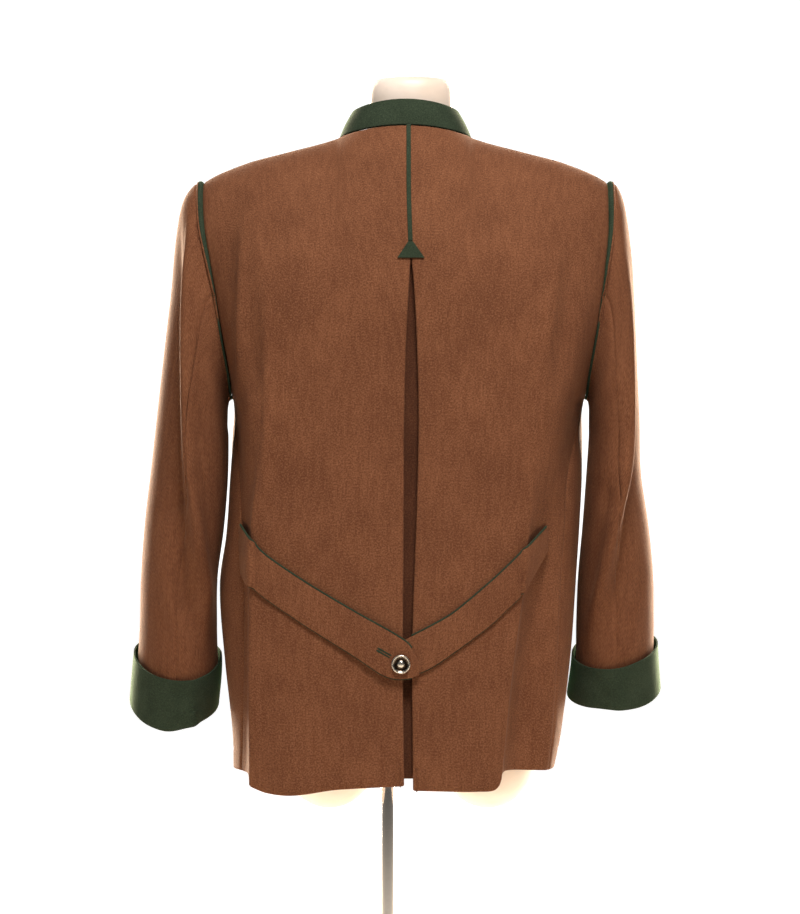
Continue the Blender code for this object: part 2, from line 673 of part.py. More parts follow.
def make_sleeves(finish):
    for side in (LEFT, RIGHT):
        rows = [float(i) for i in range(13)] + [SLEEVE_END_ROW]
        upper = seam_steps(HINDARM_ANGLE, FOREARM_ANGLE + 2 * math.pi, 11)
        under = seam_steps(FOREARM_ANGLE, HINDARM_ANGLE, 8)
        for piece, angles in (("upper", upper), ("under", under)):
            grid = [[sleeve_point(side, angle, row) for angle in angles] for row in rows]
            grid = trim(grid, left=SLEEVE_GAP / 2, right=SLEEVE_GAP / 2)
            name = f"sleeve_{piece}_{SIDE_NAME[side]}"
            wall(loft(name, wound(grid, side), finish), LODEN)


def stand_off(loop, amount):
    """A closed loop of points, moved out of itself in plan."""
    moved = []
    for i, point in enumerate(loop):
        along = loop[(i + 1) % len(loop)] - loop[i - 1]
        out = Vector((along.y, -along.x, 0)).normalized()
        moved.append(point + out * amount)
    return moved


def make_cuffs(finish):
    count = 24
    for side in (LEFT, RIGHT):
        rows = []
        for entry in CUFF:
            angles = [2 * math.pi * i / count for i in range(count)]
            loop = [sleeve_point(side, angle, entry["row"]) for angle in angles]
            rows.append(stand_off(loop, -side * entry["off"]))
        wall(loft("cuff_" + SIDE_NAME[side], wound(rows, side), finish, closed=True), CUFF_WALL)


def make_collar(finish):
    count = 32
    rows = []
    for height in (0.0, 0.5, 1.0):
        row = []
        for i in range(count + 1):
            angle = blend(COLLAR_OPENING - math.pi, math.pi - COLLAR_OPENING, i / count)
            x, y, z = neckline(angle)
            keep = COLLAR_INSET - COLLAR_LEAN * height
            lift = COLLAR_LIFT + COLLAR_HEIGHT * height
            row.append(worn(x * keep, y * keep, z + lift))
        rows.append(row)
    rows = [row[::-1] for row in rows]
    wall(loft("collar", rows, finish), COLLAR_WALL)


def belt_station(side, entry, z, out):
    """The half-belt lies on the back as far as the crest, then runs straight to the seam."""
    fold = BACK_FOLD[side]
    if entry["place"] == "back":
        return on_back(side * entry["x"], z, out)
    if entry["place"] == "crest":
        x, y = read(fold, "crest_x", z), read(fold, "crest_y", z)
        return worn(side * (x + out * 1.2), y + out * 1.2, z)
    x, y = read(fold, "seam_x", z), read(fold, "seam_y", z)
    return worn(side * (x + out), y + out, z)


def belt_rows(side):
    """Lower edge, middle and upper edge of the half-belt."""
    rows = []
    for share in (0.0, 0.5, 1.0):
        row = []
        for entry in BELT[side]:
            z = blend(entry["low"], entry["up"], share)
            out = 2 * LAY_GAP
            if side == LEFT:
                out += (BELT_WALL + LAY_GAP) * ease((0.085 - entry["x"]) / 0.050)
            row.append(belt_station(side, entry, z, out))
        rows.append(row)
    return rows


def tube(name, points, radius, finish, cyclic=False, radii=None):
    curve = bpy.data.curves.new(name, "CURVE")
    curve.dimensions = "3D"
    curve.bevel_depth = radius
    curve.bevel_resolution = 1
    curve.use_fill_caps = True
    spline = curve.splines.new("POLY")
    spline.points.add(len(points) - 1)
    for i, point in enumerate(points):
        spline.points[i].co = (*point, 1)
        spline.points[i].radius = radii[i] if radii else 1
    spline.use_cyclic_u = cyclic
    return add(name, curve, finish)


def piping_line(rows, radius):
    """Line of the piping, just above the upper edge of the belt and in its middle layer."""
    line = []
    for i, point in enumerate(rows[-1]):
        along = rows[-1][min(i + 1, len(rows[-1]) - 1)] - rows[-1][max(i - 1, 0)]
        up = (point - rows[-2][i]).normalized()
        out = along.cross(up).normalized()
        out *= math.copysign(1, out.y)
        line.append(point + up * (radius + 2 * LAY_GAP) + out * BELT_WALL / 2)
    return line


def make_belt(finish, trim_finish):
    for side in (LEFT, RIGHT):
        rows = trim(belt_rows(side), left=2 * LAY_GAP)
        name = "belt_" + SIDE_NAME[side]
        wall(loft(name, wound(rows, side), finish), BELT_WALL, outward=True)
        edge = piping_line(rows, BELT_PIPING_RADIUS)
        last = 9 if side == LEFT else 7         # the piping ends before the belt's tip
        tube(name + "_piping", edge[:last], BELT_PIPING_RADIUS, trim_finish)


def make_piping(finish):
    count = 30
    for side in (LEFT, RIGHT):
        points, radii = [], []
        for i in range(count):
            angle = 2 * math.pi * i / count
            x, y, z = armhole(angle)
            points.append(worn(side * x, y * 0.985, blend(z, 1.0, 0.012)))
            radii.append(blend(PIPING_BOTTOM / PIPING_TOP, 1, ease((1 - math.cos(angle)) / 2)))
        tube("armhole_piping_" + SIDE_NAME[side], points, PIPING_TOP, finish, True, radii)


def make_centre_trims(finish):
    """Strip down the centre back seam, and the triangle that holds the top of the pleat."""
    out = 2 * LAY_GAP
    rows = []
    for j in range(13):
        z = blend(STRIP_BOTTOM_Z + LAY_GAP, NECK_BACK_Z - LAY_GAP, j / 12)
        middle_x = read(PLEAT, "middle", z)
        rows.append([on_back(middle_x + side * STRIP_WIDTH / 2, z, out) for side in (LEFT, RIGHT)])
    wall(loft("centre_back_strip", rows, finish), FELT, outward=True)
    rows = []
    for z, width in ((PLEAT_TOP_Z, TRIANGLE_WIDTH), (STRIP_BOTTOM_Z, STRIP_WIDTH)):
        middle_x = read(PLEAT, "middle", z)
        rows.append([on_back(middle_x + side * width / 2, z, out)
                     for side in (LEFT, RIGHT)])
    wall(loft("pleat_triangle", rows, finish), FELT, outward=True)


def make_button(name, place, outward, finish):
    """Turned button: a raised rim round a dish with a small dome, its top facing outward."""
    mesh = bpy.data.meshes.new(name)
    edges = [(i, i + 1) for i in range(len(BUTTON_PROFILE) - 1)]
    mesh.from_pydata([(radius, 0, height) for radius, height in BUTTON_PROFILE], edges, [])
    item = add(name, mesh, finish)
    item.location = place
    item.rotation_euler = outward.to_track_quat("Z", "Y").to_euler()
    turned = item.modifiers.new("turned", "SCREW")
    turned.steps = turned.render_steps = BUTTON_STEPS
    turned.use_merge_vertices = True
    turned.merge_threshold = 0.00002
    turned.use_normal_calculate = True
    return item


def make_buttons(finish):
    x, z = BELT_BUTTON
    place = on_back(x, z, 2 * (BELT_WALL + LAY_GAP) + BUTTON_SEAT)
    make_button("belt_button", place, Vector((0, 1, 0)), finish)
    for number, z in enumerate(FRONT_BUTTON_Z, 1):
        point, low, high = (centre_front(at) for at in (z, z - 0.010, z + 0.010))
        along = high - low
        outward = Vector((0, -along.z, along.y)).normalized()
        seat = point + outward * FRONT_BUTTON_SEAT
        make_button(f"front_button_{number}", seat, outward, finish)


def centre_front(z):
    """Point of the upper front on the centre line."""
    column = NECK_COLUMN * FRONT_OVERLAP / (FRONT_OVERLAP + NECK_HALF_WIDTH)
    share = front_share(z) if z > ROLL_Z else None
    return front_point(LEFT, column, z, share)


def front_share(z):
    """How far up the roll the centre front stands at a height."""
    _, depth, top = neckline(math.pi)
    end = math.acos(-depth / read(BODY, "front", ROLL_Z))
    return math.asin((z - ROLL_Z) / (top - ROLL_Z) * math.sin(end)) / end


def make_buttonhole(finish):
    """Welt of the belt's buttonhole, along the belt beside the button."""
    out = 2 * (BELT_WALL + LAY_GAP) + WELT_SEAT
    first, last = (on_back(x, z, out) for x, z in WELT_ENDS)
    along = last - first
    up = Vector((along.z, 0, -along.x)).normalized() * WELT_HALF_WIDTH
    rows = [[point + up * share for point in (first, last)] for share in (-1, 1)]
    wall(loft("belt_buttonhole", rows, finish), WELT_WALL, outward=True)


def make_form(finish):
    """Torso with a neck, and two rounded ends joined to it below."""
    rows = []
    count = 28
    for entry in FORM:
        row = []
        power = 2 / entry["square"]
        for i in range(count):
            angle = 2 * math.pi * i / count
            across, along = math.sin(angle), math.cos(angle)
            depth = entry["back"] if along > 0 else entry["front"]
            x = entry["middle"] - math.copysign(entry["half"] * abs(across) ** power, across)
            y = math.copysign(depth * abs(along) ** power, along)
            row.append(Vector((x, y, entry["z"])))
        rows.append(row)
    torso = loft("form_torso", rows, finish, closed=True, capped=True)
    for side in (LEFT, RIGHT):
        bpy.ops.mesh.primitive_uv_sphere_add(segments=20, ring_count=12, radius=1.0,
                                             location=(FORM_X + side * LOBE_X, 0.0, LOBE_Z))
        lobe = bpy.context.object
        lobe.name = "lobe_" + SIDE_NAME[side]
        lobe.scale = LOBE_SIZE
        for owner in lobe.users_collection:
            owner.objects.unlink(lobe)
        cutters.objects.link(lobe)
        lobe.hide_render = True
        lobe.display_type = "WIRE"
        union = torso.modifiers.new("lobe", "BOOLEAN")
        union.operation = "UNION"
        union.object = lobe


def make_stand(finish):
    """Pole on a round base plate, on the origin."""
    for name, radius, low, high, sides in (
            ("base_plate", BASE_RADIUS, 0.0, BASE_THICKNESS, 48),
            ("pole", POLE_RADIUS, BASE_THICKNESS + TOUCH_GAP, POLE_TOP_Z, 20)):
        bpy.ops.mesh.primitive_cylinder_add(vertices=sides, radius=radius, depth=high - low,
                                            location=(0, 0, (low + high) / 2))
        item = bpy.context.object
        for owner in item.users_collection:
            owner.objects.unlink(item)
        item.name = name
        item.data.materials.append(finish)
        item.data.shade_smooth()
        item.data.set_sharp_from_angle(angle=math.radians(40))
        parts.objects.link(item)


parts, cutters, middle = start()
loden = material("loden_wool", (0.205, 0.075, 0.034), 0.95)
shade = material("loden_underlay", (0.10, 0.04, 0.02), 0.95)
felt = material("green_felt", (0.016, 0.038, 0.020), 0.95)
metal = material("antique_metal", (0.42, 0.40, 0.37), 0.30, 1.0)
shell = material("form_shell", (0.82, 0.80, 0.76), 0.45)
chrome = material("chrome", (0.75, 0.76, 0.78), 0.15, 1.0)

make_backs(loden)
make_underlay(shade)
make_fronts(loden)
make_sleeves(loden)
make_cuffs(felt)
make_collar(felt)
make_belt(loden, felt)
make_piping(felt)
make_centre_trims(felt)
make_buttons(metal)
make_buttonhole(felt)
make_form(shell)
make_stand(chrome)
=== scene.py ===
import math

import bmesh
import bpy
import numpy as np
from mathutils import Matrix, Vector


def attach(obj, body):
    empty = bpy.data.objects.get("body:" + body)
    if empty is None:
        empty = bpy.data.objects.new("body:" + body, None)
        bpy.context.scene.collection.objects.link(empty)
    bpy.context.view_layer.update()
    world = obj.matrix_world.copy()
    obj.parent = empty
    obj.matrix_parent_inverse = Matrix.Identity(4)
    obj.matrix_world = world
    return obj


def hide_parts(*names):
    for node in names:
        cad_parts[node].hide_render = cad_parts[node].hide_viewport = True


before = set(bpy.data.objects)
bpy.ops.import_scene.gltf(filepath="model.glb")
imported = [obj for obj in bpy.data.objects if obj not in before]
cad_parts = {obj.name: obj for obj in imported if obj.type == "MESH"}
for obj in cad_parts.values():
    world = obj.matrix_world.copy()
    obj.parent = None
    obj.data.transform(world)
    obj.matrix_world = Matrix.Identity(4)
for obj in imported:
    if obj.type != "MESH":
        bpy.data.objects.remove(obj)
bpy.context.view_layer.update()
print("frame loaded")

left, right = 1, -1
sideName = {left: "left", right: "right"}

# Sizes that several pieces share, in metres
jacket = {
    "formX": -0.025,          # middle of the form, measured from the pole
    "lean": 0.0037,           # the shoulders sit this far to the wearer's left
    "rollZ": 0.950,           # above this the panels roll over to the shoulder seam
    "hemZ": 0.420,
    "underarmZ": 0.868,
    "shoulderTipZ": 1.128,
    "loden": 0.0020,
    "felt": 0.0016,
    "beltWall": 0.0030,
    "layGap": 0.0004,
    "armholeRear": 0.068,
    "armholeFront": 0.066,
    "pipingRoomTop": 0.0034,  # from the middle of the piping to the edge of a panel
    "pipingRoomLow": 0.0009,
    "frontOverlap": 0.018,
    "frontStep": 0.0034,
    "turnRadius": 0.0022,     # a turned edge of loden is two layers
    "seamDip": 0.0011,        # how far cloth sinks towards a seam
    "seamReach": 0.0035,
}

neck = {
    "halfWidth": 0.0805, "back": 0.066, "front": 0.080,
    "backZ": 1.190, "sideZ": 1.181, "frontZ": 1.105,
}


def table(names, *rows):
    keys = names.split()
    return [dict(zip(keys, row)) for row in rows]


# Half widths to each side, depths behind and in front, and squareness of the sections
bodyTable = table(
    "z      left    right   back    front   square",
    (0.420, 0.2105, 0.1770, 0.1550, 0.1480, 3.0),
    (0.460, 0.2149, 0.1877, 0.1545, 0.1480, 3.0),
    (0.560, 0.2350, 0.2040, 0.1520, 0.1490, 3.0),
    (0.647, 0.2425, 0.2115, 0.1500, 0.1500, 3.0),
    (0.712, 0.2290, 0.2160, 0.1490, 0.1500, 3.0),
    (0.780, 0.2211, 0.2225, 0.1480, 0.1480, 2.9),
    (0.830, 0.2280, 0.2285, 0.1475, 0.1460, 2.9),
    (0.868, 0.2175, 0.2175, 0.1470, 0.1450, 2.8),
    (0.950, 0.2300, 0.2300, 0.1460, 0.1420, 2.7),
    (1.128, 0.2600, 0.2600, 0.1460, 0.1380, 2.6),
)

# The back turns forward over a crest, drops into a valley and ends at the side seam
foldTable = {
    left: table(
        "z      crestX  crestY  valleyX valleyY seamX   seamY",
        (0.420, 0.1835, 0.1370, 0.1880, 0.1040, 0.1960, 0.0820),
        (0.460, 0.1840, 0.1350, 0.1870, 0.0980, 0.1950, 0.0780),
        (0.560, 0.1853, 0.1290, 0.1865, 0.0920, 0.1940, 0.0740),
        (0.650, 0.1840, 0.1240, 0.1875, 0.0890, 0.1940, 0.0740),
        (0.720, 0.1820, 0.1220, 0.1885, 0.0920, 0.1960, 0.0720),
        (0.780, 0.1760, 0.1230, 0.1890, 0.0970, 0.2000, 0.0620),
        (0.868, 0.1710, 0.1250, 0.1950, 0.0960, 0.2105, 0.0000),
        (0.950, 0.1720, 0.1250, 0.2050, 0.0990, 0.2200, 0.0600),
        (1.128, 0.1860, 0.1260, 0.2220, 0.1050, 0.2455, 0.0600),
    ),
    right: table(
        "z      crestX  crestY  valleyX valleyY seamX   seamY",
        (0.420, 0.1063, 0.1400, 0.1210, 0.1000, 0.1640, 0.0720),
        (0.460, 0.1100, 0.1385, 0.1240, 0.0970, 0.1690, 0.0730),
        (0.560, 0.1200, 0.1360, 0.1350, 0.0950, 0.1750, 0.0720),
        (0.650, 0.1320, 0.1320, 0.1470, 0.0950, 0.1790, 0.0720),
        (0.720, 0.1390, 0.1300, 0.1560, 0.0980, 0.1840, 0.0700),
        (0.780, 0.1450, 0.1300, 0.1660, 0.1050, 0.1880, 0.0600),
        (0.868, 0.1525, 0.1300, 0.1830, 0.1090, 0.2105, 0.0000),
        (0.950, 0.1610, 0.1280, 0.2000, 0.1030, 0.2200, 0.0600),
        (1.128, 0.1860, 0.1260, 0.2220, 0.1050, 0.2455, 0.0600),
    ),
}

pleatTable = table(
    "z      middle   opening",
    (0.420, 0.0005,  0.0100),
    (0.550, 0.0017,  0.0103),
    (0.610, 0.0013,  0.0108),
    (0.750, -0.0016, 0.0150),
    (0.842, -0.0027, 0.0163),
    (0.930, -0.0029, 0.0122),
    (1.000, -0.0030, 0.0050),
    (1.028, -0.0033, 0.0008),
    (1.047, -0.0035, 0.0002),
    (1.110, -0.0035, 0.0002),
    (1.190, -0.0035, 0.0002),
)

shoulderTable = table(
    "x       z",
    (0.0805, 1.1810),
    (0.1000, 1.1750),
    (0.1410, 1.1645),
    (0.1950, 1.1500),
    (0.2310, 1.1350),
    (0.2455, 1.1280),
)

armholeTable = table(
    "z      backX   frontX",
    (0.868, 0.2125, 0.2125),
    (0.894, 0.2139, 0.2080),
    (0.943, 0.2215, 0.2060),
    (0.991, 0.2290, 0.2090),
    (1.032, 0.2360, 0.2160),
    (1.070, 0.2420, 0.2280),
    (1.128, 0.2455, 0.2455),
)


def mix(a, b, t):
    return a + (b - a) * t


def clamp(value, low=0.0, high=1.0):
    return max(low, min(high, value))


def steps(low, high, count):
    return [float(value) for value in np.linspace(low, high, count)]


def ease(t):
    t = clamp(t)
    return t * t * (3 - 2 * t)


def softStep(values):
    values = np.clip(values, 0.0, 1.0)
    return values * values * (3 - 2 * values)


def read(rows, key, at, by="z"):
    # One column of a table, smooth between its rows
    at = clamp(at, rows[0][by], rows[-1][by])
    i = 0
    while i < len(rows) - 2 and rows[i + 1][by] <= at:
        i += 1
    low, high = rows[i], rows[i + 1]
    before, after = rows[max(i - 1, 0)], rows[min(i + 2, len(rows) - 1)]
    span = high[by] - low[by]
    slopeLow = (high[key] - before[key]) / (high[by] - before[by]) * span
    slopeHigh = (after[key] - low[key]) / (after[by] - low[by]) * span
    t = (at - low[by]) / span
    rise = high[key] - low[key]
    return low[key] + t * (slopeLow + t * (3 * rise - 2 * slopeLow - slopeHigh
                                           + t * (slopeLow + slopeHigh - 2 * rise)))


def worn(x, y, z):
    return Vector((x + jacket["lean"] * ease((z - 0.98) / 0.14), y, z))


def neckline(angle):
    # By plan angle: 0 at the centre back, pi at the centre front
    side = math.sin(angle) ** 2
    if math.cos(angle) > 0:
        depth, z = neck["back"], mix(neck["backZ"], neck["sideZ"], side)
    else:
        depth, z = neck["front"], mix(neck["sideZ"], neck["frontZ"], (-math.cos(angle)) ** 1.7)
    return neck["halfWidth"] * math.sin(angle), depth * math.cos(angle), z


def pipingShare(z):
    # The piping is broad over the shoulder and sinks into the seam below
    return ease((z - 0.955) / 0.15)


def pipingRoom(z):
    return mix(jacket["pipingRoomLow"], jacket["pipingRoomTop"], pipingShare(z))


def armholeDepth(z, depth):
    middle = (jacket["underarmZ"] + jacket["shoulderTipZ"]) / 2
    half = (jacket["shoulderTipZ"] - jacket["underarmZ"]) / 2
    return depth * math.sqrt(clamp(1 - ((z - middle) / half) ** 2))


def armhole(angle):
    # 0 at the underarm, pi at the shoulder, with the back between them
    low, high = jacket["underarmZ"], jacket["shoulderTipZ"]
    z = (low + high) / 2 - (high - low) / 2 * math.cos(angle)
    rear = math.sin(angle) > 0
    depth = jacket["armholeRear"] if rear else jacket["armholeFront"]
    return read(armholeTable, "backX" if rear else "frontX", z), depth * math.sin(angle), z


def rollOver(x, y, topX, topY, topZ, share):
    # Quarter arc from a point at the roll level up to a point of the upper edge
    end = math.acos(clamp(topY / y))
    angle = share * end
    height = jacket["rollZ"] + (topZ - jacket["rollZ"]) * math.sin(angle) / math.sin(end)
    return Vector((mix(x, topX, ease(share)), y * math.cos(angle), height))


def backFlat(side, x, z):
    # Depth of the back between the centre and the crest
    crestX = read(foldTable[side], "crestX", z)
    crestY = read(foldTable[side], "crestY", z)
    back = read(bodyTable, "back", z)
    return crestY + (back - crestY) * (1 - clamp(abs(x) / crestX) ** 3)


def centreEnd():
    return math.acos(neck["back"] / read(bodyTable, "back", jacket["rollZ"]))


def centreHeight(share):
    rise = math.sin(share * centreEnd()) / math.sin(centreEnd())
    return mix(jacket["rollZ"], neck["backZ"], rise)


def rollShare(z):
    # Depth of the centre back above the roll level, as a share of its depth there
    if z <= jacket["rollZ"]:
        return 1.0
    rise = (z - jacket["rollZ"]) / (neck["backZ"] - jacket["rollZ"])
    return math.cos(math.asin(clamp(rise * math.sin(centreEnd()))))


def onBack(x, z, out):
    side = left if x >= 0 else right
    return worn(x, backFlat(side, x, min(z, jacket["rollZ"])) * rollShare(z) + out, z)


def upperEnd(x):
    # Top of a column: on the neckline near the middle, else on the shoulder seam
    if abs(x) < neck["halfWidth"]:
        return x, *neckline(math.asin(x / neck["halfWidth"]))[1:]
    return x, 0.0, read(shoulderTable, "z", x, by="x")


def panelEdge(side, level, share, rear):
    # Outer edge of a panel: the side seam, and above the underarm the armhole
    z = level
    if share is not None:
        rise = math.sin(share * math.pi / 2)
        z = mix(jacket["rollZ"], jacket["shoulderTipZ"], rise)
    if z < jacket["underarmZ"]:
        return Vector((read(foldTable[side], "seamX", z), read(foldTable[side], "seamY", z), z))
    if rear:
        x = read(armholeTable, "backX", z)
        return Vector((x - pipingRoom(z), armholeDepth(z, jacket["armholeRear"]), z))
    x = read(armholeTable, "frontX", z)
    return Vector((x - pipingRoom(z), -armholeDepth(z, jacket["armholeFront"]), z))


def curveBetween(a, b, leaving, arriving, t):
    rise = b - a
    return a + t * (leaving + t * (3 * rise - 2 * leaving - arriving
                                   + t * (leaving + arriving - 2 * rise)))


backPanel = {
    "columns": 96, "rows": 230,
    "neckColumn": 0.30,       # meets the corner of neckline and shoulder
    "crestColumn": 0.70,
    "foldUnder": 0.014,       # the pressed pleat edge goes this far under
    "hemAllowance": 0.023,
}


def backInner(side, column, level, share):
    z = level if share is None else jacket["rollZ"]
    edgeZ = level if share is None else centreHeight(share)
    edge = side * read(pleatTable, "middle", edgeZ) + read(pleatTable, "opening", edgeZ) / 2
    width, fold = neck["halfWidth"], foldTable[side]
    if column <= backPanel["neckColumn"]:
        x = topX = mix(edge, width, column / backPanel["neckColumn"])
    else:
        start, end = backPanel["neckColumn"], backPanel["crestColumn"]
        partWay = (column - start) / (end - start)
        x = mix(width, read(fold, "crestX", z), partWay)
        topX = mix(width, read(fold, "crestX", jacket["shoulderTipZ"]), partWay)
    if share is None:
        return Vector((x, backFlat(side, x, z), z))
    return rollOver(x, backFlat(side, x, z), *upperEnd(topX), share)


def backPoint(side, column, level, share):
    crestColumn = backPanel["crestColumn"]
    if column <= crestColumn:
        point = backInner(side, column, level, share)
        return worn(side * point.x, point.y, point.z)
    crest = backInner(side, crestColumn, level, share)
    edge = panelEdge(side, level, share, rear=True)
    fold = foldTable[side]
    if share is None:
        valley = Vector((read(fold, "valleyX", level), read(fold, "valleyY", level), level))
    else:
        top = upperEnd(read(fold, "valleyX", jacket["shoulderTipZ"]))
        valley = rollOver(read(fold, "valleyX", jacket["rollZ"]),
                          read(fold, "valleyY", jacket["rollZ"]), *top, share)
    t = 2 * (column - crestColumn) / (1 - crestColumn)
    across = (edge - crest) / 2
    if t <= 1:
        point = curveBetween(crest, valley, (4 * valley - 3 * crest - edge) / 2, across, t)
    else:
        turn = ease((jacket["underarmZ"] - level) / 0.10) if share is None else 0.0
        ending = (edge - valley).lerp(Vector((0.4, -0.9, 0)) * (edge - valley).length, turn)
        point = curveBetween(valley, edge, across, ending, t - 1)
    return worn(side * point.x, point.y, point.z)


frontPanel = {
    "columns": 96, "rows": 210,
    "neckColumn": 0.30,
    "facing": 0.030,          # width of cloth turned under at the front edge
}


def roundSection(side, angle, z):
    # Section of the body by angle, from 0 at the centre front to pi at the centre back
    power = 2 / read(bodyTable, "square", z)
    across, along = math.sin(angle), math.cos(angle)
    depth = read(bodyTable, "front", z) if along > 0 else read(bodyTable, "back", z)
    x = read(bodyTable, sideName[side], z) * abs(across) ** power
    return x, -math.copysign(depth * abs(along) ** power, along)


def sectionAngle(side, y, z):
    depth = read(bodyTable, "front", z) if y < 0 else read(bodyTable, "back", z)
    quarter = math.acos(clamp(abs(y) / depth) ** (read(bodyTable, "square", z) / 2))
    return quarter if y < 0 else math.pi - quarter


def frontRoll(flat, topX, share):
    if abs(topX) < neck["halfWidth"]:
        _, depth, height = neckline(math.pi - math.asin(topX / neck["halfWidth"]))
        top = topX, -depth, height
    else:
        top = upperEnd(topX)
    point = rollOver(flat[0], -flat[1], *top, share)
    return Vector((point.x, -point.y, point.z))


def frontPoint(side, column, level, share):
    z = level if share is None else jacket["rollZ"]
    half = read(bodyTable, sideName[side], z)
    square = read(bodyTable, "square", z)
    edge = panelEdge(side, level, share, rear=False)
    end = sectionAngle(side, panelEdge(side, z, None, rear=False).y, z)
    start = frontPanel["neckColumn"]
    neckAngle = math.asin((neck["halfWidth"] / half) ** (square / 2))
    tipX = read(armholeTable, "backX", jacket["shoulderTipZ"]) - jacket["pipingRoomTop"]
    if column <= start:
        x = topX = mix(-jacket["frontOverlap"], neck["halfWidth"], column / start)
        flat = x, -read(bodyTable, "front", z) * (1 - (abs(x) / half) ** square) ** (1 / square)
        pull = 0.0
    else:
        partWay = (column - start) / (1 - start)
        angle = mix(neckAngle, end, partWay)
        flat = roundSection(side, angle, z)
        topX = mix(neck["halfWidth"], tipX, partWay)
        pull = (angle / end) ** 4
    if share is None:
        point = Vector((*flat, z))
        last = Vector((*roundSection(side, end, z), z))
    else:
        point = frontRoll(flat, topX, share)
        last = frontRoll(roundSection(side, end, z), tipX, share)
    point += (edge - last) * pull
    if side == right:         # the right front lies under the left one
        lean = (share or 0.0) * math.acos(neck["front"] / read(bodyTable, "front", jacket["rollZ"]))
        step = jacket["frontStep"] * (1 - ease((point.x - 0.020) / 0.030))
        point += Vector((0, math.cos(lean), -math.sin(lean))) * step
    return worn(side * point.x, point.y, point.z)


# Sections of the sleeves: ends at the body and outside, middle and half size from back to
# front, how far the outer side stands forward, and the tilt of the section in degrees
sleeveTable = {
    left: table(
        "row inX     inZ    outX    outZ   midY    half    skew   tilt",
        (0, 0.2125, 0.868, 0.2455, 1.128, 0.000,  0.0670, 0.000, 0.0),
        (1, 0.2150, 0.864, 0.2580, 1.119, 0.000,  0.0690, 0.004, 0.0),
        (2, 0.2155, 0.860, 0.2695, 1.100, 0.000,  0.0710, 0.008, 0.0),
        (3, 0.2158, 0.856, 0.2770, 1.060, -0.001, 0.0730, 0.014, 0.0),
        (4, 0.2160, 0.851, 0.2835, 1.012, -0.002, 0.0740, 0.020, 0.0),
        (5, 0.2163, 0.845, 0.2900, 0.965, -0.003, 0.0745, 0.026, 0.0),
        (6, 0.2166, 0.836, 0.2975, 0.905, -0.004, 0.0745, 0.030, 0.0),
        (7, 0.2155, 0.820, 0.3040, 0.848, -0.006, 0.0740, 0.032, 0.0),
        (8, 0.2165, 0.772, 0.3110, 0.785, -0.008, 0.0730, 0.032, 1.0),
        (9, 0.2215, 0.715, 0.3185, 0.722, -0.012, 0.0715, 0.030, 4.0),
        (10, 0.2300, 0.655, 0.3240, 0.657, -0.022, 0.0700, 0.026, 8.0),
        (11, 0.2315, 0.595, 0.3265, 0.595, -0.033, 0.0680, 0.022, 12.0),
        (12, 0.2318, 0.543, 0.3300, 0.545, -0.042, 0.0670, 0.018, 16.0),
        (13, 0.2385, 0.496, 0.3325, 0.500, -0.050, 0.0680, 0.016, 16.0),
    ),
    right: table(
        "row inX     inZ    outX    outZ   midY    half    skew   tilt",
        (0, 0.2125, 0.868, 0.2455, 1.128, 0.000,  0.0670, 0.000, 0.0),
        (1, 0.2150, 0.864, 0.2560, 1.118, 0.000,  0.0700, 0.004, 0.0),
        (2, 0.2155, 0.860, 0.2635, 1.096, -0.001, 0.0730, 0.008, 0.0),
        (3, 0.2158, 0.856, 0.2680, 1.050, -0.003, 0.0760, 0.012, 0.0),
        (4, 0.2160, 0.851, 0.2705, 1.002, -0.005, 0.0780, 0.016, 0.0),
        (5, 0.2163, 0.845, 0.2735, 0.955, -0.007, 0.0790, 0.018, 0.0),
        (6, 0.2166, 0.836, 0.2765, 0.900, -0.009, 0.0790, 0.020, 0.0),
        (7, 0.2165, 0.820, 0.2795, 0.845, -0.012, 0.0785, 0.022, 0.0),
        (8, 0.2135, 0.772, 0.2815, 0.782, -0.016, 0.0780, 0.022, 1.0),
        (9, 0.2095, 0.715, 0.2905, 0.720, -0.022, 0.0760, 0.022, 4.0),
        (10, 0.2050, 0.657, 0.2970, 0.662, -0.032, 0.0730, 0.022, 8.0),
        (11, 0.2035, 0.600, 0.2990, 0.603, -0.043, 0.0700, 0.020, 11.0),
        (12, 0.2035, 0.552, 0.2995, 0.556, -0.052, 0.0690, 0.018, 13.0),
        (13, 0.2010, 0.510, 0.3010, 0.514, -0.060, 0.0700, 0.016, 12.0),
    ),
}

sleeve = {
    "hindarm": 1.50,          # seams between upper and under sleeve, round the section
    "forearm": -1.20,
    "endRow": 12.93,          # the sleeve ends just above the fold of its cuff
    "rows": 230, "upperColumns": 84, "underColumns": 56,
}


def sleevePoint(side, angle, row):
    # angle goes round the sleeve, from 0 at the body
    rows = sleeveTable[side]
    value = {key: read(rows, key, row, by="row") for key in rows[0] if key != "row"}
    across = (1 - math.cos(angle)) / 2
    x = mix(value["inX"], value["outX"], across)
    z = mix(value["inZ"], value["outZ"], across)
    y = value["midY"] + value["half"] * math.sin(angle) - value["skew"] * (across - 0.5)
    z -= math.tan(math.radians(value["tilt"])) * (y - value["midY"])
    point = Vector((x, y, z)).lerp(Vector(armhole(angle)), clamp(1 - row / 4) ** 2)
    point.x += (pipingRoom(point.z) + jacket["loden"] / 2) * clamp(1 - row / 6)
    return worn(side * point.x, point.y, point.z)


def sleeveMiddle(side, row):
    rows = sleeveTable[side]
    x = (read(rows, "inX", row, by="row") + read(rows, "outX", row, by="row")) / 2
    z = (read(rows, "inZ", row, by="row") + read(rows, "outZ", row, by="row")) / 2
    return Vector((side * x, read(rows, "midY", row, by="row"), z))


# ------- grids of points, folds and meshes
def normalsOf(points):
    normals = np.cross(np.gradient(points, axis=1), np.gradient(points, axis=0))
    return normals / np.maximum(np.linalg.norm(normals, axis=2, keepdims=True), 1e-9)


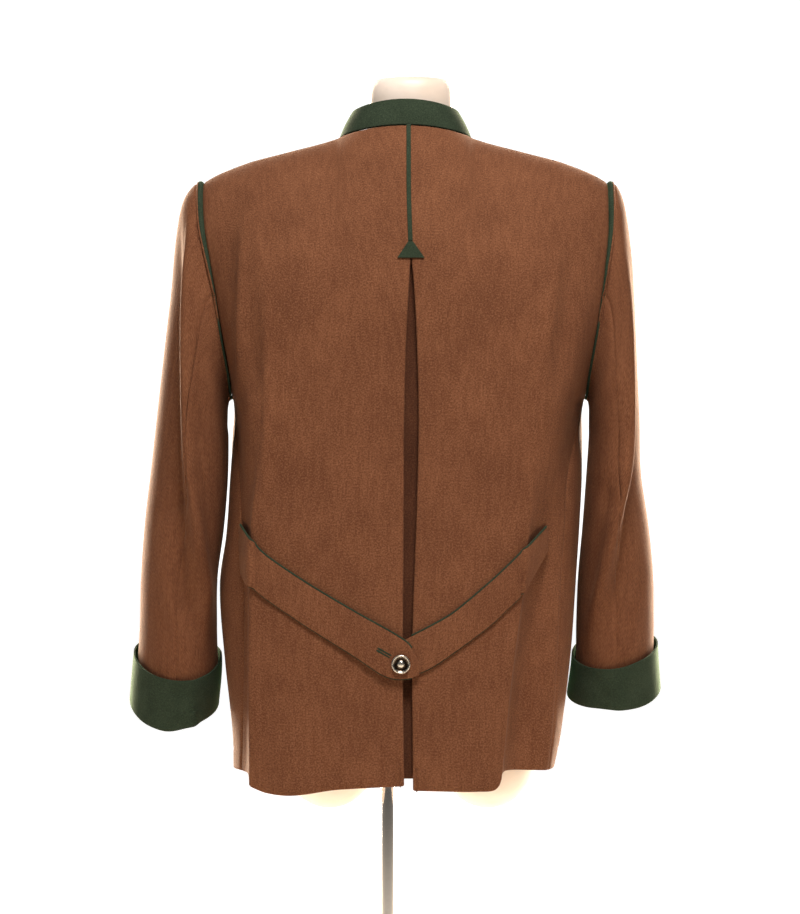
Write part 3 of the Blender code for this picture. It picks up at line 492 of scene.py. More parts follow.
def faceOut(points, middles):
    # Reverse the columns if the surface faces its own middle
    away = points - middles[:, None, :]
    if (normalsOf(points) * away).sum() < 0:
        points = points[:, ::-1]
    return points


def smoothPath(path, count=40):
    # Points through the few given ones, with whatever numbers each carries
    path = np.array(path, float)
    padded = np.vstack([2 * path[0] - path[1], path, 2 * path[-1] - path[-2]])
    samples = []
    for place in np.linspace(0, len(path) - 1 - 1e-6, count):
        i, t = int(place), place % 1
        a, b, c, d = padded[i:i + 4]
        samples.append(0.5 * (2 * b + (c - a) * t + (2 * a - 5 * b + 4 * c - d) * t * t
                              + (3 * b - a - 3 * c + d) * t ** 3))
    return np.array(samples)


def fold(facing, *path, **more):
    # A path of (across, height, width, depth). A trough has a depth below 0. A step has a ridge
    # along one side of its path and falls to a broad trough on the other.
    return {"facing": facing, "path": path, **more}


def pressFolds(points, folds):
    for each in folds:
        facing = np.array(each["facing"], float)
        flat = points[..., [0, 2]]
        path = smoothPath(each["path"])
        normals = normalsOf(points)
        reach = softStep((normals @ facing) * 2.2 + 0.1)
        best = np.full(flat.shape[:2], 1e9)
        signed, width = np.zeros_like(best), np.full_like(best, 0.01)
        depth, place = np.zeros_like(best), np.zeros_like(best)
        for i in range(len(path) - 1):
            a, step = path[i, :2], path[i + 1, :2] - path[i, :2]
            t = np.clip(((flat - a) @ step) / (step @ step), 0, 1)
            gap = flat - a - t[..., None] * step
            distance = np.linalg.norm(gap, axis=2)
            nearer = distance < best
            best = np.where(nearer, distance, best)
            turn = np.sign(step[0] * gap[..., 1] - step[1] * gap[..., 0])
            signed = np.where(nearer, distance * turn, signed)
            width = np.where(nearer, mix(path[i, 2], path[i + 1, 2], t), width)
            depth = np.where(nearer, mix(path[i, 3], path[i + 1, 3], t), depth)
            place = np.where(nearer, (i + t) / (len(path) - 1), place)
        across = signed / width
        if each.get("kind") == "step":
            fall = (1 - np.exp(-2.2 * across ** 2)) * np.exp(-(across / each.get("tail", 1.6)) ** 2)
            beside = across * (-1 if each.get("trough") == "right" else 1) > 0
            shape = np.where(beside, -fall, 2.33 * abs(across) * np.exp(-across ** 2))
        else:
            shape = np.exp(-across ** 2)
        fade = softStep(place / 0.18) * softStep((1 - place) / 0.18)
        fade = np.where(np.full_like(fade, each.get("open", False), dtype=bool),
                        softStep(place / 0.18), fade)
        points = points + normals * (depth * shape * reach * fade)[..., None]
    return points


def turnUnder(points, axis, atEnd, radius, width):
    # Roll one edge of a grid back under itself, as a turned hem or a pressed fold
    if axis == 1:
        points = points.transpose(1, 0, 2)
    if atEnd:
        points = points[::-1]
    normals = normalsOf(points)
    if (axis == 1) != atEnd:
        normals = -normals
    edge, out = points[0], normals[1]
    into = points[2] - points[0]
    into /= np.linalg.norm(into, axis=1, keepdims=True)
    middle = edge + into * radius - out * radius
    rows = [middle + out * radius * math.cos(a) - into * radius * math.sin(a)
            for a in (math.pi * k / 6 for k in range(6, -1, -1))]
    start = rows[0]
    rows = [start + into * width, start + into * width / 2] + rows
    points = np.concatenate([np.array(rows), points[2:]])
    if atEnd:
        points = points[::-1]
    return points.transpose(1, 0, 2) if axis == 1 else points


def sinkEdge(points, axis, atEnd, dip, reach):
    # Cloth sinks towards a seam over a short distance
    line = points.transpose(1, 0, 2) if axis == 1 else points
    line = line[::-1] if atEnd else line
    lengths = np.linalg.norm(np.diff(line, axis=0), axis=2)
    away = np.concatenate([np.zeros((1, lengths.shape[1])), np.cumsum(lengths, axis=0)])
    amount = dip * (1 - softStep(away / reach))
    amount = amount[::-1] if atEnd else amount
    amount = amount.T if axis == 1 else amount
    return points - normalsOf(points) * amount[..., None]


def seamEdge(points, axis, atEnd):
    return sinkEdge(points, axis, atEnd, jacket["seamDip"], jacket["seamReach"])


def gridPiece(name, points, closed=False):
    # A grid laid on the points, with its map in metres along the cloth
    rows, columns = points.shape[:2]
    across = np.linalg.norm(np.diff(points, axis=1), axis=2).cumsum(axis=1)
    across = np.hstack([np.zeros((rows, 1)), across])
    across -= across[:, [columns // 2]]
    along = np.linalg.norm(np.diff(points, axis=0), axis=2).cumsum(axis=0)
    along = np.vstack([np.zeros((1, columns)), along])
    shaped = bmesh.new()
    cut = shaped.loops.layers.uv.new("cut")
    bmesh.ops.create_grid(shaped, x_segments=columns - 1, y_segments=rows - 1, size=0.5)
    places = {}
    for vert in shaped.verts:
        places[vert] = (round((vert.co.y + 0.5) * (rows - 1)),
                        round((vert.co.x + 0.5) * (columns - 1)))
    for face in shaped.faces:
        face.smooth = True
        for corner in face.loops:
            place = places[corner.vert]
            corner[cut].uv = (across[place], along[place])
    for vert, place in places.items():
        vert.co = points[place]
    if closed:
        bmesh.ops.remove_doubles(shaped, verts=shaped.verts, dist=0.00002)
    return meshPiece(name, shaped)


def meshPiece(name, shaped, shift=True):
    if shift:
        bmesh.ops.translate(shaped, verts=shaped.verts, vec=(jacket["formX"], 0, 0))
    mesh = bpy.data.meshes.new(name)
    shaped.to_mesh(mesh)
    shaped.free()
    piece = bpy.data.objects.new(name, mesh)
    bpy.context.scene.collection.objects.link(piece)
    return piece


def giveWall(piece, thickness, outward=False, edge=0.0006):
    wall = piece.modifiers.new("wall", "SOLIDIFY")
    wall.thickness = thickness
    wall.offset = 1 if outward else -1
    wall.use_quality_normals = True
    if edge:
        soft = piece.modifiers.new("softEdge", "BEVEL")
        soft.width = edge
        soft.segments = 2
        soft.limit_method = "ANGLE"
        soft.angle_limit = math.radians(55)
        soft.harden_normals = False
    return piece


def dress(piece, node, finish):
    # Material, body and the solid that a piece stands for
    piece.data.materials.clear()
    piece.data.materials.append(finish)
    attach(piece, "root")
    if node:
        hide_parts(node)
    return piece


def sided(name, side):
    return name + sideName[side].title()


def sidedPiece(name, side, piece, finish):
    return dress(piece, f"{name}_{sideName[side]}", finish)


# ------- materials
def linear(hexColour):
    parts = [int(hexColour[i:i + 2], 16) / 255 for i in (1, 3, 5)]
    return (*(c / 12.92 if c <= 0.04045 else ((c + 0.055) / 1.055) ** 2.4 for c in parts), 1)


def addNode(tree, kind, settings=None, inputs=None):
    node = tree.nodes.new("ShaderNode" + kind)
    for key, value in (settings or {}).items():
        setattr(node, key, value)
    for key, value in (inputs or {}).items():
        if isinstance(value, bpy.types.NodeSocket):
            tree.links.new(value, node.inputs[key])
        else:
            node.inputs[key].default_value = value
    return node


def newMaterial(name):
    made = bpy.data.materials.new(name)
    made.use_nodes = True
    return made, made.node_tree, made.node_tree.nodes["Principled BSDF"]


def perMillimetre(size):
    # Noise scale on a map in metres, for grains of this size
    return 1000.0 / size


def noise(tree, vector, size, detail, **more):
    return addNode(tree, "TexNoise", inputs={
        "Vector": vector, "Scale": perMillimetre(size), "Detail": detail, **more}).outputs["Fac"]


def dent(tree, shader, height, strength, distance):
    bump = addNode(tree, "Bump", inputs={
        "Height": height, "Strength": strength, "Distance": distance})
    tree.links.new(bump.outputs[0], shader.inputs["Normal"])


def roughen(tree, shader, grain, low, high):
    rough = addNode(tree, "MapRange", inputs={"Value": grain, 3: low, 4: high})
    tree.links.new(rough.outputs[0], shader.inputs["Roughness"])


def setAll(shader, values):
    for key, value in values.items():
        shader.inputs[key].default_value = value


def ramp(tree, factor, *stops):
    node = addNode(tree, "ValToRGB", inputs={"Fac": factor})
    elements = node.color_ramp.elements
    while len(elements) < len(stops):
        elements.new(0.5)
    for element, (place, colour) in zip(elements, stops):
        element.position = place
        element.color = linear(colour)
    return node.outputs["Color"]


def blendColour(tree, factor, a, b, how="MIX"):
    node = addNode(tree, "Mix", {"data_type": "RGBA", "blend_type": how})
    for socket, value in ((node.inputs[0], factor), (node.inputs[6], a), (node.inputs[7], b)):
        if isinstance(value, bpy.types.NodeSocket):
            tree.links.new(value, socket)
        else:
            socket.default_value = value
    return node.outputs[2]


loden = {
    "dark": "#5f3a26", "mid": "#73482f", "light": "#8e6144",
    "fleck": 1.9,             # mm, a real fleck is about 1 mm and is drawn larger to show
    "yarn": 1.5, "cloud": 70.0, "streak": 6.0,
}


def lodenMaterial(name, paintedShade):
    # Fulled woven wool: dull, heathered, with a short nap that catches light at its edges. A second
    # colour, if given, is multiplied in as painted shade
    made, tree, shader = newMaterial(name)
    cut = addNode(tree, "UVMap", {"uv_map": "cut"}).outputs["UV"]
    fleck = noise(tree, cut, loden["fleck"], 3.0, Roughness=0.65)
    stretched = addNode(tree, "Mapping", inputs={"Vector": cut, "Scale": (1.0, 0.22, 1.0)})
    streak = noise(tree, stretched.outputs[0], loden["streak"], 2.0)
    cloud = noise(tree, cut, loden["cloud"], 2.0)
    colour = ramp(tree, fleck, (0.32, loden["dark"]), (0.50, loden["mid"]), (0.70, loden["light"]))
    faded = ramp(tree, cloud, (0.35, "#e6e1dd"), (0.65, "#ffffff"))
    colour = blendColour(tree, 0.8, colour, faded, "MULTIPLY")
    lines = ramp(tree, streak, (0.35, "#e2dcd7"), (0.65, "#ffffff"))
    colour = blendColour(tree, 0.6, colour, lines, "MULTIPLY")
    # Painted shade: the colour multiplied in here darkens this copy of the cloth to stand for the shade
    # deep in the pleat
    if paintedShade:
        colour = blendColour(tree, 1.0, colour, linear(paintedShade), "MULTIPLY")
    tree.links.new(colour, shader.inputs["Base Color"])
    weave = addNode(tree, "TexVoronoi", inputs={
        "Vector": cut, "Scale": perMillimetre(loden["yarn"]), "Randomness": 0.75})
    height = addNode(tree, "Math", {"operation": "ADD"}, {0: fleck, 1: weave.outputs["Distance"]})
    dent(tree, shader, height.outputs[0], 0.35, 0.0005)
    setAll(shader, {"Roughness": 0.92, "Specular IOR Level": 0.25, "Sheen Weight": 0.07,
                    "Sheen Roughness": 0.22, "Sheen Tint": linear("#f3bd92")})
    return made


felt = {"dark": "#1e2a1f", "mid": "#2e3a2c", "light": "#43503e", "fibre": 1.6, "cloud": 30.0}


def feltMaterial():
    # Pressed wool felt: fine tangled fibres, no weave, soft and dull
    made, tree, shader = newMaterial("greenWoolFelt")
    cut = addNode(tree, "UVMap", {"uv_map": "cut"}).outputs["UV"]
    fibre = noise(tree, cut, felt["fibre"], 5.0, Roughness=0.7, Distortion=0.8)
    cloud = noise(tree, cut, felt["cloud"], 2.0)
    colour = ramp(tree, fibre, (0.30, felt["dark"]), (0.52, felt["mid"]), (0.75, felt["light"]))
    tone = ramp(tree, cloud, (0.3, "#d8dcd8"), (0.7, "#ffffff"))
    colour = blendColour(tree, 0.8, colour, tone, "MULTIPLY")
    tree.links.new(colour, shader.inputs["Base Color"])
    dent(tree, shader, fibre, 0.30, 0.0004)
    setAll(shader, {"Roughness": 0.95, "Specular IOR Level": 0.2, "Sheen Weight": 0.18,
                    "Sheen Roughness": 0.28, "Sheen Tint": linear("#86cf8d")})
    return made


def buttonMaterial():
    # Cast and silvered metal, rubbed bright on its high parts and dark in the dish
    made, tree, shader = newMaterial("antiqueSilveredMetal")
    patina = addNode(tree, "Attribute", {"attribute_name": "patina"}).outputs["Fac"]
    place = addNode(tree, "TexCoord").outputs["Object"]
    grain = noise(tree, place, 1.2, 4.0)
    bright = ramp(tree, grain, (0.35, "#b9b2a4"), (0.7, "#efeae0"))
    dull = ramp(tree, grain, (0.3, "#1f1712"), (0.75, "#4c3d30"))
    tree.links.new(blendColour(tree, patina, bright, dull), shader.inputs["Base Color"])
    roughen(tree, shader, grain, 0.18, 0.36)
    shader.inputs["Metallic"].default_value = 1.0
    dent(tree, shader, grain, 0.15, 0.0003)
    return made


def shellMaterial():
    # Sprayed fibreglass shell: off-white, satin, faintly uneven
    made, tree, shader = newMaterial("sprayedFormShell")
    place = addNode(tree, "TexCoord").outputs["Object"]
    cloud = noise(tree, place, 60, 3.0)
    colour = ramp(tree, cloud, (0.3, "#dccbbb"), (0.7, "#eadfd5"))
    tree.links.new(colour, shader.inputs["Base Color"])
    roughen(tree, shader, cloud, 0.38, 0.52)
    dent(tree, shader, noise(tree, place, 1.4, 3.0), 0.06, 0.0004)
    return made


def plateMaterial(name, colour, low, high, grain):
    # Chromium plate on steel: the tube is polished, the base plate is brushed a little
    made, tree, shader = newMaterial(name)
    place = addNode(tree, "TexCoord").outputs["Object"]
    roughen(tree, shader, noise(tree, place, grain, 4.0), low, high)
    setAll(shader, {"Base Color": linear(colour), "Metallic": 1.0})
    return made


lodenCloth = lodenMaterial("fulledLoden", None)
# The pleat underlay is the same loden with painted shade multiplied in, for the shade inside the pleat
underlayPaintedShadeCloth = lodenMaterial("fulledLodenPaintedPleatShade", "#b0a59c")
greenFelt = feltMaterial()
buttonMetal = buttonMaterial()
formShell = shellMaterial()
chrome = plateMaterial("polishedChrome", "#c9c8c6", 0.08, 0.20, 9.0)
baseMetal = plateMaterial("brushedChrome", "#c4c7cb", 0.22, 0.38, 2.0)
print("materials made")

# ------- body panels
towardBack, towardFront = (0, 1, 0), (0, -1, 0)

# Hem heights by column: the cloth is uneven where it hangs free
hemTable = {
    left: table("at rise", (0.0, 0.0035), (0.30, -0.001), (0.50, -0.008), (0.62, -0.006),
                (0.70, 0.001), (0.80, 0.011), (1.0, 0.013)),
    right: table("at rise", (0.0, -0.0018), (0.30, -0.0034), (0.56, -0.003), (0.66, 0.002),
                 (0.71, 0.010), (0.80, 0.016), (1.0, 0.012)),
}

# (across, height, width, depth) of each fold, in the garment's own metres
backFolds = {
    left: [
        fold(towardBack, (0.174, 1.020, 0.010, 0.0006), (0.171, 0.940, 0.010, 0.0030),
             (0.170, 0.860, 0.009, 0.0042), (0.173, 0.790, 0.009, 0.0034),
             (0.178, 0.730, 0.009, 0.0010), kind="step"),
        fold(towardBack, (0.198, 1.100, 0.012, 0.0006), (0.201, 1.030, 0.010, 0.0034),
             (0.202, 0.960, 0.009, 0.0040), (0.202, 0.900, 0.008, 0.0030),
             (0.203, 0.850, 0.008, 0.0008), kind="step"),
        fold(towardBack, (0.118, 0.980, 0.022, 0.0004), (0.110, 0.880, 0.020, -0.0013),
             (0.104, 0.780, 0.020, -0.0014), (0.101, 0.690, 0.020, -0.0004)),
        fold(towardBack, (0.060, 0.860, 0.022, 0.0003), (0.052, 0.760, 0.022, 0.0012),
             (0.050, 0.660, 0.020, 0.0006)),
        fold(towardBack, (0.150, 0.620, 0.018, 0.0004), (0.146, 0.520, 0.020, 0.0020),
             (0.140, 0.420, 0.024, 0.0050), open=True),
        fold(towardBack, (0.085, 0.560, 0.018, -0.0003), (0.088, 0.490, 0.018, -0.0014),
             (0.090, 0.420, 0.020, -0.0026), open=True),
        fold(towardBack, (0.100, 1.100, 0.020, -0.0003), (0.145, 1.070, 0.020, -0.0012),
             (0.185, 1.030, 0.018, -0.0005)),
    ],
    right: [
        fold(towardBack, (-0.142, 0.760, 0.009, 0.0004), (-0.158, 0.860, 0.010, 0.0034),
             (-0.172, 0.965, 0.012, 0.0042), (-0.188, 1.070, 0.014, 0.0010), kind="step"),
        fold(towardBack, (-0.090, 0.960, 0.022, 0.0003), (-0.084, 0.860, 0.022, 0.0013),
             (-0.078, 0.760, 0.020, 0.0010), (-0.070, 0.680, 0.020, 0.0003)),
        fold(towardBack, (-0.125, 0.900, 0.018, -0.0003), (-0.116, 0.820, 0.016, -0.0014),
             (-0.108, 0.740, 0.016, -0.0012), (-0.100, 0.690, 0.016, -0.0003)),
        fold(towardBack, (-0.080, 0.560, 0.018, 0.0003), (-0.074, 0.490, 0.020, 0.0016),
             (-0.066, 0.420, 0.022, 0.0034), open=True),
        fold(towardBack, (-0.100, 1.105, 0.020, -0.0003), (-0.150, 1.072, 0.020, -0.0013),
             (-0.190, 1.025, 0.018, -0.0005)),
    ],
}
frontFolds = {
    left: [
        fold(towardFront, (0.150, 1.040, 0.014, 0.0006), (0.162, 0.960, 0.013, 0.0034),
             (0.172, 0.880, 0.012, 0.0024), (0.178, 0.820, 0.012, 0.0005), kind="step"),
        fold(towardFront, (0.095, 0.960, 0.020, -0.0004), (0.105, 0.860, 0.018, -0.0022),
             (0.112, 0.760, 0.018, -0.0020), (0.116, 0.680, 0.018, -0.0004)),
        fold(towardFront, (0.140, 0.700, 0.020, 0.0004), (0.150, 0.560, 0.022, 0.0030),
             (0.156, 0.420, 0.024, 0.0056), open=True),
        fold(towardFront, (0.070, 0.640, 0.020, -0.0004), (0.078, 0.530, 0.020, -0.0024),
             (0.084, 0.420, 0.024, -0.0040), open=True),
    ],
    right: [
        fold(towardFront, (-0.182, 0.830, 0.012, 0.0005), (-0.172, 0.900, 0.012, 0.0026),
             (-0.160, 0.975, 0.013, 0.0030), (-0.148, 1.045, 0.014, 0.0006), kind="step"),
        fold(towardFront, (-0.086, 0.930, 0.020, -0.0004), (-0.097, 0.830, 0.018, -0.0020),
             (-0.104, 0.730, 0.018, -0.0022), (-0.108, 0.650, 0.018, -0.0004)),
        fold(towardFront, (-0.120, 0.680, 0.020, 0.0004), (-0.126, 0.550, 0.022, 0.0026),
             (-0.124, 0.420, 0.024, 0.0050), open=True),
        fold(towardFront, (-0.060, 0.620, 0.020, -0.0004), (-0.066, 0.520, 0.020, -0.0022),
             (-0.070, 0.420, 0.024, -0.0036), open=True),
    ],
}


def panelPoints(pointAt, side, sizes):
    # Rows run up to the roll level by height, then over the roll by share
    flatRows = round(sizes["rows"] * 0.66)
    levels = [(z, None) for z in steps(jacket["hemZ"], jacket["rollZ"], flatRows)]
    rolls = [(None, s) for s in steps(0, 1, sizes["rows"] - flatRows + 1)[1:]]
    columns = steps(0, 1, sizes["columns"])
    rows = [[pointAt(side, column, jacket["rollZ"] if z is None else z, share)
             for column in columns] for z, share in levels + rolls]
    return np.array(rows), columns


def raiseHem(points, rises):
    fade = softStep((0.60 - points[..., 2]) / 0.16)
    points[..., 2] += np.array(rises)[None, :] * fade
    return points


def stitchLine(points, height, depth, reach):
    # The hem stitches pull a faint line into the cloth
    above = points[..., 2] - points[[0], :, 2]
    amount = depth * np.exp(-((above - height) / reach) ** 2)
    return points - normalsOf(points) * amount[..., None]


def bodyMiddles(points):
    middles = points.mean(axis=1)
    middles[:, :2] = 0
    return middles


def makePanel(name, side, points, folds, turn, under, wall):
    # The inner edge and the hem are turned under, the other edges sink into their seams
    facedOut = faceOut(points, bodyMiddles(points))
    innerAtEnd = facedOut is not points
    points = pressFolds(facedOut, folds)
    points = stitchLine(points, backPanel["hemAllowance"], 0.0005, 0.0020)
    points = seamEdge(points, 1, not innerAtEnd)
    points = seamEdge(points, 0, True)
    points = turnUnder(points, 1, innerAtEnd, turn, under)
    points = turnUnder(points, 0, False, jacket["turnRadius"], backPanel["hemAllowance"])
    return sidedPiece(name, side, giveWall(gridPiece(sided(name, side), points), wall),
                      lodenCloth)


def makeBack(side):
    points, columns = panelPoints(backPoint, side, backPanel)
    points = raiseHem(points, [read(hemTable[side], "rise", c, by="at") for c in columns])
    return makePanel("back", side, points, backFolds[side], jacket["turnRadius"],
                     backPanel["foldUnder"], jacket["loden"])


def makeFront(side):
    points, columns = panelPoints(frontPoint, side, frontPanel)
    seamRise = hemTable[side][-1]["rise"]
    points = raiseHem(points, [seamRise * ease((c - 0.6) / 0.4) for c in columns])
    return makePanel("front", side, points, frontFolds[side], jacket["turnRadius"] * 0.7,
                     frontPanel["facing"], jacket["loden"] * 0.8)


backs = {side: makeBack(side) for side in (left, right)}
fronts = {side: makeFront(side) for side in (left, right)}
print("body panels made")

underlay = {"depth": 0.010, "halfWidth": 0.030, "z": (0.431, 1.040), "wave": 0.0012}


def makeUnderlay():
    rows = []
    for z in steps(*underlay["z"], 160):
        middle = read(pleatTable, "middle", z)
        row = []
        for share in steps(1, -1, 24):
            x = middle + share * underlay["halfWidth"]
            sway = underlay["wave"] * math.sin(z * 31 + share * 1.4) * (1 - abs(share))
            row.append(onBack(x, z, sway - underlay["depth"]))
        rows.append(row)
    points = np.array(rows)
    points = turnUnder(points, 0, False, jacket["turnRadius"], 0.015)
    piece = giveWall(gridPiece("pleatUnderlay", points), jacket["loden"])
    return dress(piece, "pleat_underlay", underlayPaintedShadeCloth)


underlayPiece = makeUnderlay()

# ------- sleeves and cuffs
sleeveFolds = {
    left: [
        fold(towardBack, (0.264, 1.115, 0.007, 0.0010), (0.265, 1.060, 0.009, 0.0050),
             (0.266, 0.980, 0.010, 0.0110), (0.266, 0.870, 0.011, 0.0150),
             (0.265, 0.790, 0.011, 0.0160), (0.259, 0.713, 0.011, 0.0160),
             (0.253, 0.645, 0.011, 0.0130), (0.250, 0.595, 0.010, 0.0040),
             (0.249, 0.555, 0.009, 0.0000), (0.249, 0.500, 0.009, 0.0000), kind="step", open=True,
             tail=2.4),
        fold(towardBack, (0.250, 0.800, 0.012, 0.0003), (0.262, 0.760, 0.011, -0.0022),
             (0.285, 0.735, 0.011, -0.0020), (0.300, 0.722, 0.011, -0.0004)),
        fold(towardBack, (0.236, 0.690, 0.010, -0.0003), (0.248, 0.650, 0.010, -0.0022),
             (0.262, 0.620, 0.010, -0.0024), (0.276, 0.590, 0.010, -0.0005)),
        fold(towardBack, (0.300, 0.650, 0.010, -0.0003), (0.292, 0.610, 0.009, -0.0022),
             (0.284, 0.575, 0.009, -0.0014), (0.280, 0.555, 0.009, -0.0003)),
        fold(towardFront, (0.235, 0.900, 0.013, -0.0004), (0.252, 0.830, 0.012, -0.0040),
             (0.262, 0.760, 0.012, -0.0040), (0.270, 0.700, 0.012, -0.0008)),
        fold(towardFront, (0.246, 0.720, 0.011, -0.0004), (0.266, 0.690, 0.010, -0.0036),
             (0.292, 0.675, 0.010, -0.0030), (0.312, 0.672, 0.011, -0.0004)),
        fold(towardFront, (0.250, 0.660, 0.011, -0.0004), (0.272, 0.636, 0.010, -0.0030),
             (0.300, 0.626, 0.011, -0.0004)),
    ],
    right: [
        fold(towardBack, (-0.260, 1.080, 0.007, 0.0006), (-0.264, 0.990, 0.009, 0.0050),
             (-0.265, 0.900, 0.010, 0.0085), (-0.262, 0.808, 0.010, 0.0125),
             (-0.254, 0.744, 0.010, 0.0145), (-0.241, 0.663, 0.010, 0.0145),
             (-0.228, 0.605, 0.010, 0.0050), (-0.222, 0.565, 0.009, 0.0000), kind="step", open=True,
             tail=3.0, trough="right"),
        fold(towardBack, (-0.222, 0.780, 0.011, -0.0003), (-0.238, 0.745, 0.011, -0.0020),
             (-0.252, 0.730, 0.010, -0.0004)),
        fold(towardBack, (-0.272, 0.690, 0.011, -0.0003), (-0.268, 0.640, 0.010, -0.0022),
             (-0.260, 0.600, 0.010, -0.0018), (-0.256, 0.575, 0.010, -0.0003)),
        fold(towardFront, (-0.228, 0.890, 0.013, -0.0004), (-0.242, 0.820, 0.012, -0.0038),
             (-0.250, 0.750, 0.012, -0.0040), (-0.252, 0.690, 0.012, -0.0008)),
        fold(towardFront, (-0.222, 0.715, 0.011, -0.0004), (-0.242, 0.688, 0.010, -0.0036),
             (-0.268, 0.676, 0.010, -0.0028), (-0.284, 0.676, 0.011, -0.0004)),
    ],
}


def sleeveRows():
    return steps(0, sleeve["endRow"], sleeve["rows"])


def makeSleeve(side):
    rows = sleeveRows()
    middles = np.array([sleeveMiddle(side, row) for row in rows])
    spans = {
        "upper": (sleeve["hindarm"], sleeve["forearm"] + 2 * math.pi, sleeve["upperColumns"]),
        "under": (sleeve["forearm"], sleeve["hindarm"], sleeve["underColumns"]),
    }
    pieces = []
    for part, (start, end, count) in spans.items():
        angles = steps(start, end, count)
        points = np.array([[sleevePoint(side, a, row) for a in angles] for row in rows])
        points = pressFolds(faceOut(points, middles), sleeveFolds[side])
        for axis, atEnd in ((1, False), (1, True), (0, False)):
            points = seamEdge(points, axis, atEnd)
        piece = giveWall(gridPiece(sided("sleeve" + part.title(), side), points), jacket["loden"])
        pieces.append(sidedPiece("sleeve_" + part, side, piece, lodenCloth))
    return pieces


sleeves = {side: makeSleeve(side) for side in (left, right)}
print("sleeves made")

cuff = {
    "wall": 0.0022, "rows": 36, "columns": 150,
    "topRow": 11.75, "foldRow": 13.0,
    "topOff": 0.0052, "foldOff": 0.0080,
    "turnIn": 0.018,
}
cuffTable = {
    # Rise of the upper edge and of the fold round the cuff, by angle from the body
    left: table("at top fold", (0.0, 0.006, 0.004), (0.8, -0.002, 0.002), (1.57, -0.004, -0.006),
                (2.1, -0.001, -0.004), (3.14, 0.006, 0.004), (4.7, 0.002, 0.002), (6.29, 0.006, 0.004)),
    right: table("at top fold", (0.0, -0.002, 0.000), (1.2, -0.003, 0.001), (2.0, 0.002, -0.001),
                 (3.14, 0.006, 0.003), (4.7, 0.002, 0.002), (6.29, -0.002, 0.000)),
}
cuffFolds = {
    left: [
        fold(towardBack, (0.254, 0.560, 0.007, 0.0006), (0.256, 0.520, 0.007, 0.0030),
             (0.258, 0.480, 0.007, 0.0050), open=True),
        fold(towardBack, (0.285, 0.560, 0.012, -0.0004), (0.288, 0.520, 0.012, -0.0024),
             (0.292, 0.480, 0.012, -0.0034), open=True),
    ],
    right: [
        fold(towardBack, (-0.262, 0.565, 0.010, 0.0004), (-0.258, 0.530, 0.010, 0.0022),
             (-0.252, 0.490, 0.010, 0.0030), open=True),
        fold(towardBack, (-0.230, 0.560, 0.011, -0.0004), (-0.228, 0.525, 0.011, -0.0018),
             (-0.226, 0.490, 0.011, -0.0026), open=True),
    ],
}


def makeCuff(side):
    angles = steps(0, 2 * math.pi, cuff["columns"])
    rows = steps(cuff["foldRow"], cuff["topRow"], cuff["rows"])
    points = np.array([[sleevePoint(side, a, row) for a in angles] for row in rows])
    middles = np.array([sleeveMiddle(side, row) for row in rows])
    facedOut = faceOut(points, middles)
    order = angles if facedOut is points else angles[::-1]
    points = facedOut
    share = np.linspace(0, 1, cuff["rows"])[:, None]
    off = mix(cuff["foldOff"], cuff["topOff"], share)
    flatNormals = normalsOf(points)
    flatNormals[..., 2] *= 0.2
    points = points + flatNormals * off[..., None]
    rises = np.array([[mix(read(cuffTable[side], "fold", a, by="at"),
                           read(cuffTable[side], "top", a, by="at"), t) for a in order]
                      for t in share[:, 0]])
    points[..., 2] += rises
    points = pressFolds(points, cuffFolds[side])
    points[:, -1] = points[:, 0]
    points = turnUnder(points, 0, False, 0.0024, cuff["turnIn"])
    points[:, -1] = points[:, 0]
    piece = giveWall(gridPiece(sided("cuff", side), points, closed=True), cuff["wall"], edge=0.0008)
    return sidedPiece("cuff", side, piece, greenFelt)


cuffs = {side: makeCuff(side) for side in (left, right)}
print("cuffs made")

# ------- collar, strip and triangle
collar = {
    "height": 0.031, "lift": 0.0006, "inset": 0.985, "lean": 0.20, "wall": 0.0030,
    "halfTurn": math.pi - 0.05, "bow": 0.0012,
}


def makeCollar():
    rows = []
    for height in steps(0, 1, 16):
        row = []
        for angle in steps(collar["halfTurn"], -collar["halfTurn"], 160):
            x, y, z = neckline(angle)
            keep = collar["inset"] - collar["lean"] * height
            keep += collar["bow"] / neck["halfWidth"] * math.sin(math.pi * height)
            z += collar["lift"] + (collar["height"] + 0.0014) * height
            row.append(worn(x * keep, y * keep, z))
        rows.append(row)
    points = np.array(rows)
    points = faceOut(points, bodyMiddles(points))
    piece = giveWall(gridPiece("collar", points), collar["wall"], edge=0.0011)
    piece.name = "standCollar"
    return dress(piece, "collar", greenFelt)


collarPiece = makeCollar()

trims = {
    "stripWidth": 0.0052, "stripZ": (1.0475, 1.1900),
    "triangleWidth": 0.031, "triangleZ": (1.028, 1.047), "lift": 0.0006,
}


def makeStrip():
    low, high = trims["stripZ"]
    rows = []
    for z in steps(low, high, 70):
        middle = read(pleatTable, "middle", z)
        rows.append([onBack(middle + share * trims["stripWidth"] / 2, z, trims["lift"])
                     for share in steps(1, -1, 7)])
    piece = giveWall(gridPiece("centreBackStrip", np.array(rows)), jacket["felt"] * 0.8, True, 0.0005)
    return dress(piece, "centre_back_strip", greenFelt)


def makeTriangle():
    low, high = trims["triangleZ"]
    rows = []
    for t in steps(0, 1, 18):
        z = mix(low, high, t)
        middle = read(pleatTable, "middle", z)
        width = mix(trims["triangleWidth"], trims["stripWidth"], t)
        rows.append([onBack(middle + share * width / 2, z, trims["lift"])
                     for share in steps(1, -1, 24)])
    piece = giveWall(gridPiece("pleatTriangle", np.array(rows)), jacket["felt"], True, 0.0006)
    return dress(piece, "pleat_triangle", greenFelt)


stripPiece = makeStrip()
trianglePiece = makeTriangle()
print("collar and centre trims made")

